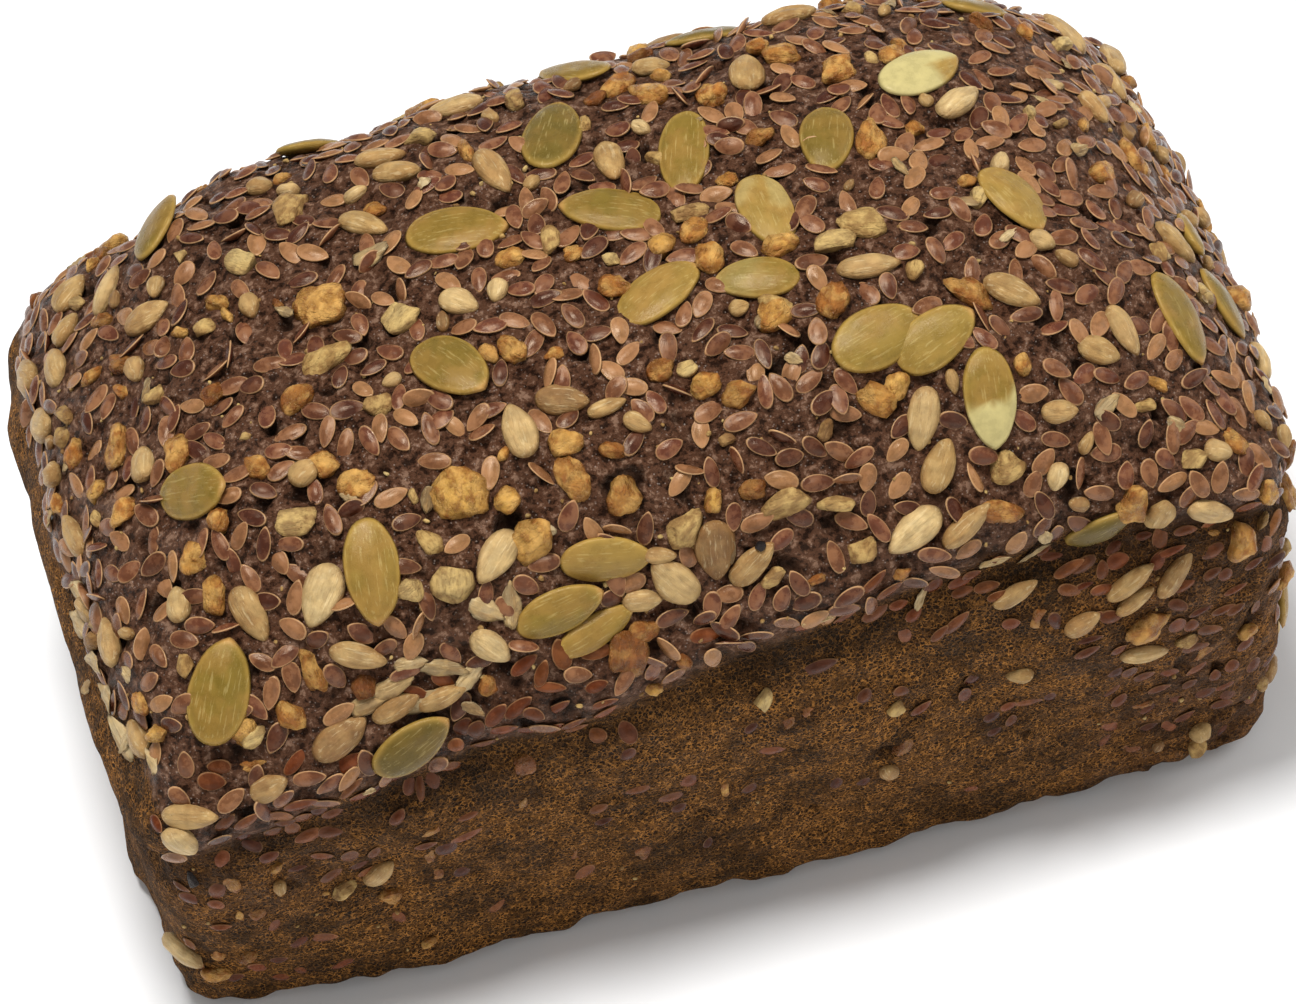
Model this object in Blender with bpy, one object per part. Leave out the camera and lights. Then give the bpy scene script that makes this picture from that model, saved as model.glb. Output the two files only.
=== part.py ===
# A dark rye loaf baked in a tin: a long block with a domed top that leans out over its walls in a
# soft lip, with pumpkin seeds, sunflower kernels, grain and flax baked into the crust.
# Metres, Z up. The flat base lies on Z = 0 about the origin, X runs along the loaf and the bare
# long wall looks towards -Y. Everything is one solid: the seeds are fused to the crumb.
import math

import bmesh
import bpy
import numpy as np
from mathutils import Matrix

MM = 0.001

BASE_LENGTH = 173 * MM
BASE_WIDTH = 86 * MM
END_FLARE = 2.5 * MM
SIDE_FLARE = 9.8 * MM
RIM_HEIGHT = 46 * MM
DOME_HEIGHT = 62.5 * MM
DOME_TILT = 4.3 * MM
DOME_SAG = -4.5 * MM
LENGTH_POWER = 2.65
WIDTH_POWER = 3.0
LEVEL_POWER = 16
SIDE_BOW = 0.06
CORNER_POWER = 14
EDGE_RADIUS = 4 * MM
LUMP_HEIGHT = 0.45 * MM

# Height of the crease under the lip at bearings around the loaf, 270 degrees being the bare wall.
LIP_HEIGHTS = {0: 58, 45: 55, 70: 60, 90: 64, 115: 60, 135: 50, 180: 52, 225: 46,
               243: 57, 258: 60, 270: 64, 285: 69, 297: 70, 315: 62}
LIP_OUT = 2.2 * MM
LIP_RISE = 6 * MM
LIP_SPREAD = 6 * MM
CREASE_IN = 1.2 * MM
CREASE_DROP = 3 * MM
CREASE_SPREAD = 3 * MM

# The line along the loaf from which girth angles are measured: 0 faces the bare wall, 90 is up.
AXIS_HEIGHT = 45 * MM
AIM_STEP = 0.02
SEARCH_STEPS = 34
SEARCH_REACH = 200 * MM
FLAT = 0.001 * MM
WELD = 0.02 * MM

CELLS_LONG = 20
CELLS_WIDE = 10
WALL_CUTS = [11, 22, 32, 40, 45.5, 50, 54.5, 59, 63.5, 68, 73, 80, 88, 97]
BLANK_HEIGHT = 107 * MM

# Each seed that can be told apart: place along the loaf, girth angle, heading of its tip from the
# length of the loaf towards the crown, length and width, in millimetres and degrees.
PUMPKIN_SEEDS = [
    (-22, 95.5, -12, 15, 8.5), (-29, 72, -60, 14, 9), (-4, 109, 67, 16, 8.8), (13, 98, -108, 15.5, 7.6),
    (0, 91, 157, 15, 8), (33, 93, -108, 12.5, 8), (21, 83, -86, 14.7, 8), (2.5, 74.5, 24, 14.3, 8.5),
    (16.5, 72.5, 165, 12.5, 6.8), (30, 60, 15, 14, 9), (38, 58, 23, 13.5, 8), (56, 77, -62, 13, 8),
    (50, 104, 25, 14.5, 8), (75, 54, -77, 15, 7.5), (43.5, 49, -96, 14.5, 7.8), (56, 26, 30, 11, 6),
    (-47.5, 20, 28, 13, 7.5), (-72, 34.5, 66, 15.5, 9), (-47.5, 47, -97, 15.2, 8), (-68, 67, -30, 14.3, 8.3),
    (-15, 41, -10, 13, 7.5), (-23, 35.5, 13, 13.3, 7), (-18.5, 31, 18, 12.5, 5), (24, 127, 0, 13, 7),
    (84.5, 57, -80, 12, 7), (64, 127, 10, 11, 7), (83, 76, 60, 9, 5),
]
KERNELS = [
    (-67, 110, -8, 8.5, 4.6), (-34, 104, -50, 9, 4.2), (-27, 111, -30, 8, 4), (-28.5, 116, -15, 8, 3.6),
    (-14, 104, -77, 10, 4.5), (2.5, 100.5, -94, 10, 4.6), (26, 110, 80, 9, 5.5), (36, 123, 10, 9, 4.5),
    (54, 98, 36, 9.5, 4.5), (75, 104, -70, 7, 4), (79.5, 71, -50, 9, 4), (32, 69.7, -8, 9.5, 4),
    (51, 62, -35, 9, 4.5), (65.5, 53.5, -78, 8.5, 4), (61, 51.5, -30, 7, 4), (33.5, 48.5, -110, 9.8, 4.8),
    (34.5, 42, 57, 8.6, 4.8), (29, 34, -154, 9.6, 5.2), (36.5, 33, 34, 9.3, 3.5), (65, 26.5, 80, 8, 4.5),
    (72.5, 24.5, -40, 9, 4.2), (60, 13.5, 35, 9, 3.5), (67, 12, 50, 9, 3.5), (60.5, 9.2, 20, 7, 3),
    (61.5, -4.5, -15, 8, 3.2), (42.5, 18.6, 20, 7.5, 3), (-6, 35.5, 124, 9.6, 5.5),
    (0.5, 38.5, -95, 10, 5.8), (5.3, 35.5, 41, 9, 4.2), (-33.5, 32.8, -50, 7, 4.4),
    (-30, 44.7, -138, 9, 4.8), (-22.4, 60, 96, 8.6, 5), (-15.3, 62.5, -20, 8, 4.5),
    (-55, 45.3, -127, 10.3, 5.8), (-52, 36, -29, 8.8, 4.2), (-57, 23.8, 27, 9.5, 5),
    (-48.3, 26.5, 20, 8, 3.5), (-41.7, 26.5, 15, 8, 3.2), (-80, 15.5, -8, 8.5, 4), (-82, 11, -60, 7, 4.8),
    (-65, 45, -75, 9, 5), (-85, 142, 80, 10, 6), (-81, 126, 80, 8, 4.5), (-85, 128, 95, 10, 5.5),
    (-76, 138, 20, 7, 5), (-54.5, -12.5, 55, 7, 3.6), (-85, 80, 70, 9, 4),
    (-84.5, 45, 60, 8.5, 4), (-86, 56, 70, 7, 3.5), (-84, 26, 80, 8, 4), (-85.5, 106, 80, 7, 4),
]
GRAINS = [
    (-43.6, 91.5, -45, 9.5, 7.5), (-32.8, 53.7, 80, 9, 7.8), (11.5, 112, -60, 7, 4.5),
    (38.5, 106.5, 20, 7, 5), (39, 91.5, 75, 8, 4.5), (45, 63, -35, 8.5, 4.5), (28, 52, -43, 6.7, 4.3),
    (41.8, 33.5, -15, 6.5, 4), (61, 29, 70, 7, 5), (77, 15.5, 85, 7, 5), (62, 2, 15, 7.5, 5),
    (-16.8, 52, -80, 7, 5), (-24.3, 45.7, 35, 7.5, 6), (-14.6, 26.5, 80, 7.5, 6.5),
    (-58.6, 34.3, -85, 7, 3.6), (-68.8, 76.4, 70, 7, 4.6), (-76, 89, 60, 6.5, 5),
]
CHUNKS = [
    (-52, 106, -50, 6, 4.2), (-43, 113.5, 50, 8, 5.5), (33.5, 77, -20, 7, 5), (28.3, 75, 0, 6.5, 5.4),
    (-3.3, 42.3, 45, 6.5, 4.5), (-36.9, 42.3, 80, 6, 5.8), (11.5, 42.5, 10, 8, 4),
    (-55.7, 56.5, -20, 6.5, 4.6), (-45, 81, 30, 7.5, 6), (-33.4, 83.5, 15, 6, 4.5),
    (10.5, 86.5, -10, 6.5, 3), (-9.8, 88.3, 80, 6, 3),
]

# Each kind of seed: thickness, how far its middle stands off the crust, the number of faces round
# it and of rings along it, and how much it narrows towards its tip.
PUMPKIN = (2.8 * MM, 0.3 * MM, 6, 4, 0.15)
KERNEL = (2.8 * MM, 0.35 * MM, 5, 3, 0.2)
GRAIN = (3.4 * MM, 0.3 * MM, 5, 3, 0.1)
CHUNK = (3.2 * MM, 0.3 * MM, 4, 3, 0.1)
FLAX = (1.3 * MM, 0.3 * MM, 4, 3, 0.3)
FAR_PUMPKIN_SIZE = (14 * MM, 8 * MM)
FAR_KERNEL_SIZE = (9 * MM, 4.5 * MM)
FAR_GRAIN_SIZE = (6.5 * MM, 5 * MM)
FLAX_SIZE = (4.8 * MM, 2.6 * MM)

# The far side carries the same mix of seeds, spread by a seeded rule, and flax lies all over.
FAR_SIDE_GIRTH = 124
END_FACE_TILT = 0.8
END_FACE_LEAN = 0.25
FAR_PUMPKINS, FAR_PUMPKIN_SPACING = 12, 15 * MM
FAR_KERNELS, FAR_KERNEL_SPACING = 24, 10 * MM
FAR_GRAINS, FAR_GRAIN_SPACING = 18, 9 * MM
FLAX_COUNT, FLAX_SPACING = 64, 7 * MM
TRIES = 9000
SCATTER_SEED = 11

# Below the crease the walls are nearly bare, but for patches of seeds round the end corners. The
# left end face has none and is bare to well above its crease.
WALL_SHARE = 0.06
RIGHT_PATCH_START, RIGHT_PATCH_SHARE = 48 * MM, 0.9
LEFT_PATCH_START, LEFT_PATCH_SHARE = 52 * MM, 0.5
LEFT_PATCH_END = 84.5 * MM
LEFT_BARE_TOP = 64 * MM
PATCH_FADE = 14 * MM
LOWEST_SEED = 6 * MM


def lip_line(x, y):
    bearing = np.degrees(np.arctan2(y / (BASE_WIDTH / 2), x / (BASE_LENGTH / 2)))
    heights = np.array(list(LIP_HEIGHTS.values())) * MM
    return np.interp(bearing, list(LIP_HEIGHTS), heights, period=360)


def lip_swell(x, y, z):
    up = z - lip_line(x, y)
    lip = LIP_OUT * np.exp(-(((up - LIP_RISE) / LIP_SPREAD) ** 2))
    crease = CREASE_IN * np.exp(-(((up + CREASE_DROP) / CREASE_SPREAD) ** 2))
    return lip - crease


def lumps(x, y, z):
    waves = np.sin(190 * x + 2 + 60 * z) * np.sin(230 * y + 1) + np.sin(160 * z + 120 * x)
    ripples = np.sin(420 * x + 310 * y + 1) * np.sin(380 * z + 2)
    return LUMP_HEIGHT * (waves + 0.6 * ripples)


def inside(x, y, z):
    rise = np.clip(z / RIM_HEIGHT, 0, 1)
    under = np.clip(EDGE_RADIUS - z, 0, EDGE_RADIUS)
    inset = EDGE_RADIUS - np.sqrt(EDGE_RADIUS**2 - under**2)
    lump = lumps(x, y, z)
    swell = lip_swell(x, y, z) + lump - inset
    half_length = BASE_LENGTH / 2 + END_FLARE * rise + swell
    half_width = BASE_WIDTH / 2 + SIDE_FLARE * rise + swell
    along, across = np.abs(x / half_length), np.abs(y / half_width)
    u, v = along, across
    for _ in range(4):
        bowed_u = along / np.sqrt(np.maximum(MM, 1 - SIDE_BOW * np.minimum(v, 1.2) ** 2))
        v = across / np.sqrt(np.maximum(MM, 1 - SIDE_BOW * np.minimum(u, 1.2) ** 2))
        u = bowed_u
    level = (u**CORNER_POWER + v**CORNER_POWER) ** (1 / CORNER_POWER)
    u, v, ring = np.clip(u, 0, 1), np.clip(v, 0, 1), np.clip(level, 0, 1)
    crown = DOME_HEIGHT + DOME_TILT * np.sign(x) * u + DOME_SAG * (1 - u**2)
    fall_long = (1 - u**LENGTH_POWER) ** (1 / LENGTH_POWER)
    fall_wide = (1 - v**WIDTH_POWER) ** (1 / WIDTH_POWER)
    fall_edge = (1 - ring**LEVEL_POWER) ** (1 / LEVEL_POWER)
    dome = crown * fall_long * fall_wide * fall_edge
    return (z > 0) & (level < 1) & (z < RIM_HEIGHT + dome + lump)


def reach(origins, directions):
    near = np.zeros(len(directions))
    far = np.full(len(directions), SEARCH_REACH)
    for _ in range(SEARCH_STEPS):
        half = (near + far) / 2
        points = origins + half[:, None] * directions
        within = inside(points[:, 0], points[:, 1], points[:, 2])
        near, far = np.where(within, half, near), np.where(within, far, half)
    return origins + near[:, None] * directions


def unit(vectors):
    return vectors / np.linalg.norm(vectors, axis=1)[:, None]


def crust(origins, directions):
    points = reach(origins, directions)
    aside = unit(np.cross(directions, np.tile([0.3, 0.9, 0.2], (len(directions), 1))))
    above = np.cross(directions, aside)
    first = reach(origins, unit(directions + AIM_STEP * aside)) - points
    second = reach(origins, unit(directions + AIM_STEP * above)) - points
    outward = unit(np.cross(first, second))
    flip = np.sign(np.sum(outward * directions, axis=1))
    return points, outward * flip[:, None]


def girth_spots(places):
    x = np.array([place[0] for place in places]) * MM
    girth = np.radians([place[1] for place in places])
    origins = np.c_[x, np.zeros(len(x)), np.full(len(x), AXIS_HEIGHT)]
    return crust(origins, np.c_[np.zeros(len(x)), -np.cos(girth), np.sin(girth)])


def scattered_spots(chance):
    aims = chance.uniform(-1, 1, (TRIES, 3)) * [BASE_LENGTH / 2, BASE_WIDTH / 2, BLANK_HEIGHT / 2]
    faces = chance.randint(0, 3, TRIES)
    sides = chance.choice([-1, 1], TRIES)
    aims[np.arange(TRIES), faces] = sides * np.array([BASE_LENGTH, BASE_WIDTH, BLANK_HEIGHT])[faces] / 2
    origins = np.tile([0, 0, AXIS_HEIGHT], (TRIES, 1))
    return crust(origins, unit(aims))


def seeded_share(points):
    x, y, z = points.T
    right_patch = np.clip((x - RIGHT_PATCH_START) / PATCH_FADE, 0, 1) * RIGHT_PATCH_SHARE
    left_patch = np.clip((-x - LEFT_PATCH_START) / PATCH_FADE, 0, 1) * LEFT_PATCH_SHARE
    wall = np.maximum(right_patch + left_patch, WALL_SHARE)
    share = np.where(z > lip_line(x, y), 1, wall)
    bare = (x < -LEFT_PATCH_END) & (z < LEFT_BARE_TOP)
    return np.where(bare | (z < LOWEST_SEED), 0, share)


def basis(point, normal, heading):
    side = np.array([1.0, END_FACE_LEAN if abs(normal[0]) > END_FACE_TILT else 0.0, 0.0])
    side -= normal * side.dot(normal)
    side /= np.linalg.norm(side)
    crownward = np.cross(normal, side)
    tip = side * math.cos(heading) + crownward * math.sin(heading)
    wide = np.cross(normal, tip)
    frame = Matrix.Identity(4)
    for row in range(3):
        frame[row][:] = (tip[row], wide[row], normal[row], point[row])
    return frame


def add_seed(collection, name, point, normal, heading, size, kind):
    length, width = size
    thickness, stand, rounds, rings, taper = kind
    bm = bmesh.new()
    bmesh.ops.create_uvsphere(bm, u_segments=rounds, v_segments=rings, radius=0.5)
    bmesh.ops.rotate(bm, verts=bm.verts, cent=(0, 0, 0), matrix=Matrix.Rotation(math.pi / 2, 3, "Y"))
    for vert in bm.verts:
        fullness = 1 - taper * vert.co.x * 2
        vert.co = (vert.co.x * length, vert.co.y * width * fullness, vert.co.z * thickness * fullness)
    bmesh.ops.transform(bm, matrix=basis(point + normal * stand, normal, heading), verts=bm.verts)
    mesh = bpy.data.meshes.new(name)
    bm.to_mesh(mesh)
    bm.free()
    seed = bpy.data.objects.new(name, mesh)
    seed.hide_render = True
    seed.display_type = "WIRE"
    collection.objects.link(seed)


def add_named_seeds(collection, name, places, kind):
    points, normals = girth_spots(places)
    for number, place in enumerate(places):
        size = (place[3] * MM, place[4] * MM)
        add_seed(collection, f"{name}_{number}", points[number], normals[number],
                 math.radians(place[2]), size, kind)
    return list(points)


def add_scattered_seeds(collection, taken):
    chance = np.random.RandomState(SCATTER_SEED)
    points, normals = scattered_spots(chance)
    share = seeded_share(points)
    headings = chance.uniform(-math.pi, math.pi, TRIES)
    rolls = chance.uniform(0, 1, TRIES)
    girth = np.degrees(np.arctan2(points[:, 2] - AXIS_HEIGHT, -points[:, 1])) % 360
    hidden = ((girth > FAR_SIDE_GIRTH) & (girth < 270)) | (np.abs(normals[:, 0]) > END_FACE_TILT)
    allowed = rolls < share
    plans = [
        ("far_pumpkin", FAR_PUMPKINS, FAR_PUMPKIN_SPACING, allowed & hidden, FAR_PUMPKIN_SIZE, PUMPKIN),
        ("far_kernel", FAR_KERNELS, FAR_KERNEL_SPACING, allowed & hidden, FAR_KERNEL_SIZE, KERNEL),
        ("far_grain", FAR_GRAINS, FAR_GRAIN_SPACING, allowed & hidden, FAR_GRAIN_SIZE, GRAIN),
        ("flax", FLAX_COUNT, FLAX_SPACING, allowed, FLAX_SIZE, FLAX),
    ]
    turn = 0
    for name, wanted, spacing, open_spots, size, kind in plans:
        number = 0
        while number < wanted and turn < TRIES:
            here = points[turn]
            if open_spots[turn] and min(np.linalg.norm(here - other) for other in taken) > spacing:
                add_seed(collection, f"{name}_{number}", here, normals[turn], headings[turn], size, kind)
                taken.append(here)
                number += 1
            turn += 1


def build_core():
    bm = bmesh.new()
    bmesh.ops.create_cube(bm, size=1)
    bmesh.ops.scale(bm, vec=(BASE_LENGTH, BASE_WIDTH, BLANK_HEIGHT), verts=bm.verts)
    bmesh.ops.translate(bm, vec=(0, 0, BLANK_HEIGHT / 2), verts=bm.verts)
    cuts = [((BASE_LENGTH * (step / CELLS_LONG - 0.5), 0, 0), (1, 0, 0)) for step in range(1, CELLS_LONG)]
    cuts += [((0, BASE_WIDTH * (step / CELLS_WIDE - 0.5), 0), (0, 1, 0)) for step in range(1, CELLS_WIDE)]
    cuts += [((0, 0, height * MM), (0, 0, 1)) for height in WALL_CUTS]
    for place, facing in cuts:
        whole = list(bm.verts) + list(bm.edges) + list(bm.faces)
        bmesh.ops.bisect_plane(bm, geom=whole, plane_co=place, plane_no=facing)
    places = np.array([vert.co[:] for vert in bm.verts])
    origins = np.tile([0, 0, AXIS_HEIGHT], (len(places), 1))
    points = reach(origins, unit(places - origins))
    for vert, point in zip(bm.verts, points):
        vert.co = point if point[2] > FLAT else (point[0], point[1], 0)
    under = [face for face in bm.faces if all(vert.co.z == 0 for vert in face.verts)]
    bmesh.ops.dissolve_faces(bm, faces=under, use_verts=True)
    bmesh.ops.triangulate(bm, faces=bm.faces)
    mesh = bpy.data.meshes.new("loaf")
    bm.to_mesh(mesh)
    bm.free()
    return bpy.data.objects.new("loaf", mesh)


def islands(bm):
    left = set(bm.faces)
    while left:
        stack, found = [left.pop()], []
        while stack:
            face = stack.pop()
            found.append(face)
            for edge in face.edges:
                for neighbour in edge.link_faces:
                    if neighbour in left:
                        left.remove(neighbour)
                        stack.append(neighbour)
        yield found


def keep_main_body(obj):
    bm = bmesh.new()
    bm.from_mesh(obj.data)
    groups = sorted(islands(bm), key=len, reverse=True)
    scraps = [face for group in groups[1:] for face in group]
    bmesh.ops.delete(bm, geom=scraps, context="FACES")
    loose = [vert for vert in bm.verts if not vert.link_faces]
    bmesh.ops.delete(bm, geom=loose, context="VERTS")
    bmesh.ops.remove_doubles(bm, verts=bm.verts, dist=WELD)
    bmesh.ops.dissolve_degenerate(bm, dist=WELD, edges=bm.edges)
    bmesh.ops.triangulate(bm, faces=bm.faces)
    bm.to_mesh(obj.data)
    bm.free()


def fuse(obj, collection):
    join = obj.modifiers.new("seeds", "BOOLEAN")
    join.operation = "UNION"
    join.operand_type = "COLLECTION"
    join.collection = collection
    join.solver = "EXACT"
    bpy.context.view_layer.objects.active = obj
    bpy.ops.object.modifier_apply(modifier=join.name)


def crumb_material():
    material = bpy.data.materials.new("baked rye crust")
    material.use_nodes = True
    shader = material.node_tree.nodes["Principled BSDF"]
    shader.inputs["Base Color"].default_value = (0.12, 0.055, 0.025, 1)
    shader.inputs["Roughness"].default_value = 0.75
    return material


for old in list(bpy.data.objects):
    bpy.data.objects.remove(old)

loaf_parts = bpy.data.collections.new("seeded_loaf")
toppings = bpy.data.collections.new("toppings")
for group in (loaf_parts, toppings):
    bpy.context.scene.collection.children.link(group)

loaf = build_core()
loaf.data.materials.append(crumb_material())
loaf_parts.objects.link(loaf)

placed = add_named_seeds(toppings, "pumpkin", PUMPKIN_SEEDS, PUMPKIN)
placed += add_named_seeds(toppings, "kernel", KERNELS, KERNEL)
placed += add_named_seeds(toppings, "grain", GRAINS, GRAIN)
placed += add_named_seeds(toppings, "chunk", CHUNKS, CHUNK)
add_scattered_seeds(toppings, placed)

fuse(loaf, toppings)
for seed in list(toppings.objects):
    bpy.data.objects.remove(seed)
keep_main_body(loaf)
print("loaf:", len(loaf.data.polygons), "triangles")
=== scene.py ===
import math

import bpy
import numpy as np
from mathutils import Matrix, Vector, kdtree, noise


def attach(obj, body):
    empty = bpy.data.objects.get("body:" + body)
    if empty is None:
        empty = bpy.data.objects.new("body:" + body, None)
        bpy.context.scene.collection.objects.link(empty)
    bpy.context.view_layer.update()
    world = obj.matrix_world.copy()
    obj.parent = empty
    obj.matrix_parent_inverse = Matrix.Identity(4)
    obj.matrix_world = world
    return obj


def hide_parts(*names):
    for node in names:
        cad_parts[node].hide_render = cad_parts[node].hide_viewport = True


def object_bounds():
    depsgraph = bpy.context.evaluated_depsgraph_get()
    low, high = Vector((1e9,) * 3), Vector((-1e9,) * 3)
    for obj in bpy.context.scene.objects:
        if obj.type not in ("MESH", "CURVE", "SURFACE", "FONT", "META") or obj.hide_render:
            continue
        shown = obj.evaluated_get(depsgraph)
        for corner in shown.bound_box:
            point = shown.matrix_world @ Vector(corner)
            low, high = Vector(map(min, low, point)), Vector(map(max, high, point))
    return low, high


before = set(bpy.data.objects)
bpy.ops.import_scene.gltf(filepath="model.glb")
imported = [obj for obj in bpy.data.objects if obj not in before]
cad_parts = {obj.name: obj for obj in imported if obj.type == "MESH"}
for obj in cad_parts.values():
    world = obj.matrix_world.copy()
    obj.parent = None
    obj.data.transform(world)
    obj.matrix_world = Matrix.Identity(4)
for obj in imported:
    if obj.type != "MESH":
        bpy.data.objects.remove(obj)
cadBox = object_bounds()
mm = 0.001
scene = bpy.context.scene
print("frame loaded")

# the loaf's form, the same rule that the solid follows
loafForm = {
    "baseLength": 173 * mm, "baseWidth": 86 * mm,
    "endFlare": 2.5 * mm, "sideFlare": 9.8 * mm,
    "rimHeight": 46 * mm, "domeHeight": 62.5 * mm, "domeTilt": 4.3 * mm, "domeSag": -4.5 * mm,
    "lengthPower": 2.65, "widthPower": 3.0, "levelPower": 16,
    "sideBow": 0.06, "cornerPower": 14, "edgeRadius": 4 * mm, "lumpHeight": 0.45 * mm,
    "lipHeights": {0: 58, 45: 55, 70: 60, 90: 64, 115: 60, 135: 50, 180: 52, 225: 46,
                   243: 57, 258: 60, 270: 64, 285: 69, 297: 70, 315: 62},
    "lipOut": 2.2 * mm, "lipRise": 6 * mm, "lipSpread": 6 * mm,
    "creaseIn": 1.2 * mm, "creaseDrop": 3 * mm, "creaseSpread": 3 * mm,
    "axisHeight": 45 * mm, "blankHeight": 107 * mm,
}
aimStep = 0.02
searchSteps = 34
searchReach = 200 * mm


def lipLine(x, y):
    # the height of the lip all round, where seeded dome meets bare wall
    bearing = np.degrees(np.arctan2(y / (loafForm["baseWidth"] / 2), x / (loafForm["baseLength"] / 2)))
    heights = np.array(list(loafForm["lipHeights"].values())) * mm
    return np.interp(bearing, list(loafForm["lipHeights"]), heights, period=360)


def lipSwell(x, y, z):
    # the lip stands out over the wall, with a crease under it
    up = z - lipLine(x, y)
    lip = loafForm["lipOut"] * np.exp(-(((up - loafForm["lipRise"]) / loafForm["lipSpread"]) ** 2))
    crease = loafForm["creaseIn"] * np.exp(-(((up + loafForm["creaseDrop"]) / loafForm["creaseSpread"]) ** 2))
    return lip - crease


def lumps(x, y, z):
    waves = np.sin(190 * x + 2 + 60 * z) * np.sin(230 * y + 1) + np.sin(160 * z + 120 * x)
    ripples = np.sin(420 * x + 310 * y + 1) * np.sin(380 * z + 2)
    return loafForm["lumpHeight"] * (waves + 0.6 * ripples)


def inside(x, y, z):
    # which points lie in the loaf, without its seeds
    f = loafForm
    rise = np.clip(z / f["rimHeight"], 0, 1)
    under = np.clip(f["edgeRadius"] - z, 0, f["edgeRadius"])
    inset = f["edgeRadius"] - np.sqrt(f["edgeRadius"] ** 2 - under**2)
    lump = lumps(x, y, z)
    swell = lipSwell(x, y, z) + lump - inset
    halfLength = f["baseLength"] / 2 + f["endFlare"] * rise + swell
    halfWidth = f["baseWidth"] / 2 + f["sideFlare"] * rise + swell
    along, across = np.abs(x / halfLength), np.abs(y / halfWidth)
    u, v = along, across
    for _ in range(4):
        bowedU = along / np.sqrt(np.maximum(mm, 1 - f["sideBow"] * np.minimum(v, 1.2) ** 2))
        v = across / np.sqrt(np.maximum(mm, 1 - f["sideBow"] * np.minimum(u, 1.2) ** 2))
        u = bowedU
    level = (u ** f["cornerPower"] + v ** f["cornerPower"]) ** (1 / f["cornerPower"])
    u, v, ring = np.clip(u, 0, 1), np.clip(v, 0, 1), np.clip(level, 0, 1)
    crown = f["domeHeight"] + f["domeTilt"] * np.sign(x) * u + f["domeSag"] * (1 - u**2)
    fallLong = (1 - u ** f["lengthPower"]) ** (1 / f["lengthPower"])
    fallWide = (1 - v ** f["widthPower"]) ** (1 / f["widthPower"])
    fallEdge = (1 - ring ** f["levelPower"]) ** (1 / f["levelPower"])
    dome = crown * fallLong * fallWide * fallEdge
    return (z > 0) & (level < 1) & (z < f["rimHeight"] + dome + lump)


def reach(origins, directions):
    # where rays from within leave the loaf
    near = np.zeros(len(directions))
    far = np.full(len(directions), searchReach)
    for _ in range(searchSteps):
        half = (near + far) / 2
        points = origins + half[:, None] * directions
        within = inside(points[:, 0], points[:, 1], points[:, 2])
        near, far = np.where(within, half, near), np.where(within, far, half)
    return origins + near[:, None] * directions


def unit(vectors):
    return vectors / np.linalg.norm(vectors, axis=1)[:, None]


def crustAt(origins, directions):
    # points of the crust along the rays, and the way out of the crust there
    points = reach(origins, directions)
    aside = unit(np.cross(directions, np.tile([0.3, 0.9, 0.2], (len(directions), 1))))
    above = np.cross(directions, aside)
    first = reach(origins, unit(directions + aimStep * aside)) - points
    second = reach(origins, unit(directions + aimStep * above)) - points
    outward = unit(np.cross(first, second))
    flip = np.sign(np.sum(outward * directions, axis=1))
    return points, outward * flip[:, None]


def girthSpots(places):
    # a place is x in millimetres and girth in degrees: 0 on the front wall, 90 on top
    x = np.array([place[0] for place in places]) * mm
    girth = np.radians([place[1] for place in places])
    origins = np.c_[x, np.zeros(len(x)), np.full(len(x), loafForm["axisHeight"])]
    return crustAt(origins, np.c_[np.zeros(len(x)), -np.cos(girth), np.sin(girth)])


def scatteredSpots(chance, tries):
    block = np.array([loafForm["baseLength"], loafForm["baseWidth"], loafForm["blankHeight"]])
    aims = chance.uniform(-1, 1, (tries, 3)) * (block / 2)
    faces = chance.randint(0, 3, tries)
    sides = chance.choice([-1, 1], tries)
    aims[np.arange(tries), faces] = sides * block[faces] / 2
    origins = np.tile([0, 0, loafForm["axisHeight"]], (tries, 1))
    return crustAt(origins, unit(aims))


# how thickly the seeds lie: all over the dome, and in patches round the corners below the lip
seeding = {
    "wallShare": 0.06, "patchFade": 14 * mm, "lowestSeed": 6 * mm,
    "rightStart": 48 * mm, "rightShare": 0.9,
    "leftStart": 52 * mm, "leftShare": 0.5, "leftEnd": 84.5 * mm, "leftBareTop": 64 * mm,
    "farGirth": 124, "endTilt": 0.8, "endLean": 0.25,
    "firstTries": 9000, "firstSeed": 11,
}


def seededShare(points):
    # the chance that a seed lies at a point, from 0 to 1
    x, y, z = points.T
    rightPatch = np.clip((x - seeding["rightStart"]) / seeding["patchFade"], 0, 1) * seeding["rightShare"]
    leftPatch = np.clip((-x - seeding["leftStart"]) / seeding["patchFade"], 0, 1) * seeding["leftShare"]
    wall = np.maximum(rightPatch + leftPatch, seeding["wallShare"])
    share = np.where(z > lipLine(x, y), 1, wall)
    bare = (x < -seeding["leftEnd"]) & (z < seeding["leftBareTop"])
    return np.where(bare | (z < seeding["lowestSeed"]), 0, share)


def seatFrame(point, normal, heading):
    # a seed's own axes: along to its tip, across, and out of the crust
    side = np.array([1.0, seeding["endLean"] if abs(normal[0]) > seeding["endTilt"] else 0.0, 0.0])
    side -= normal * side.dot(normal)
    side /= np.linalg.norm(side)
    crownward = np.cross(normal, side)
    tip = side * math.cos(heading) + crownward * math.sin(heading)
    return np.array([tip, np.cross(normal, tip), normal])


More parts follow.
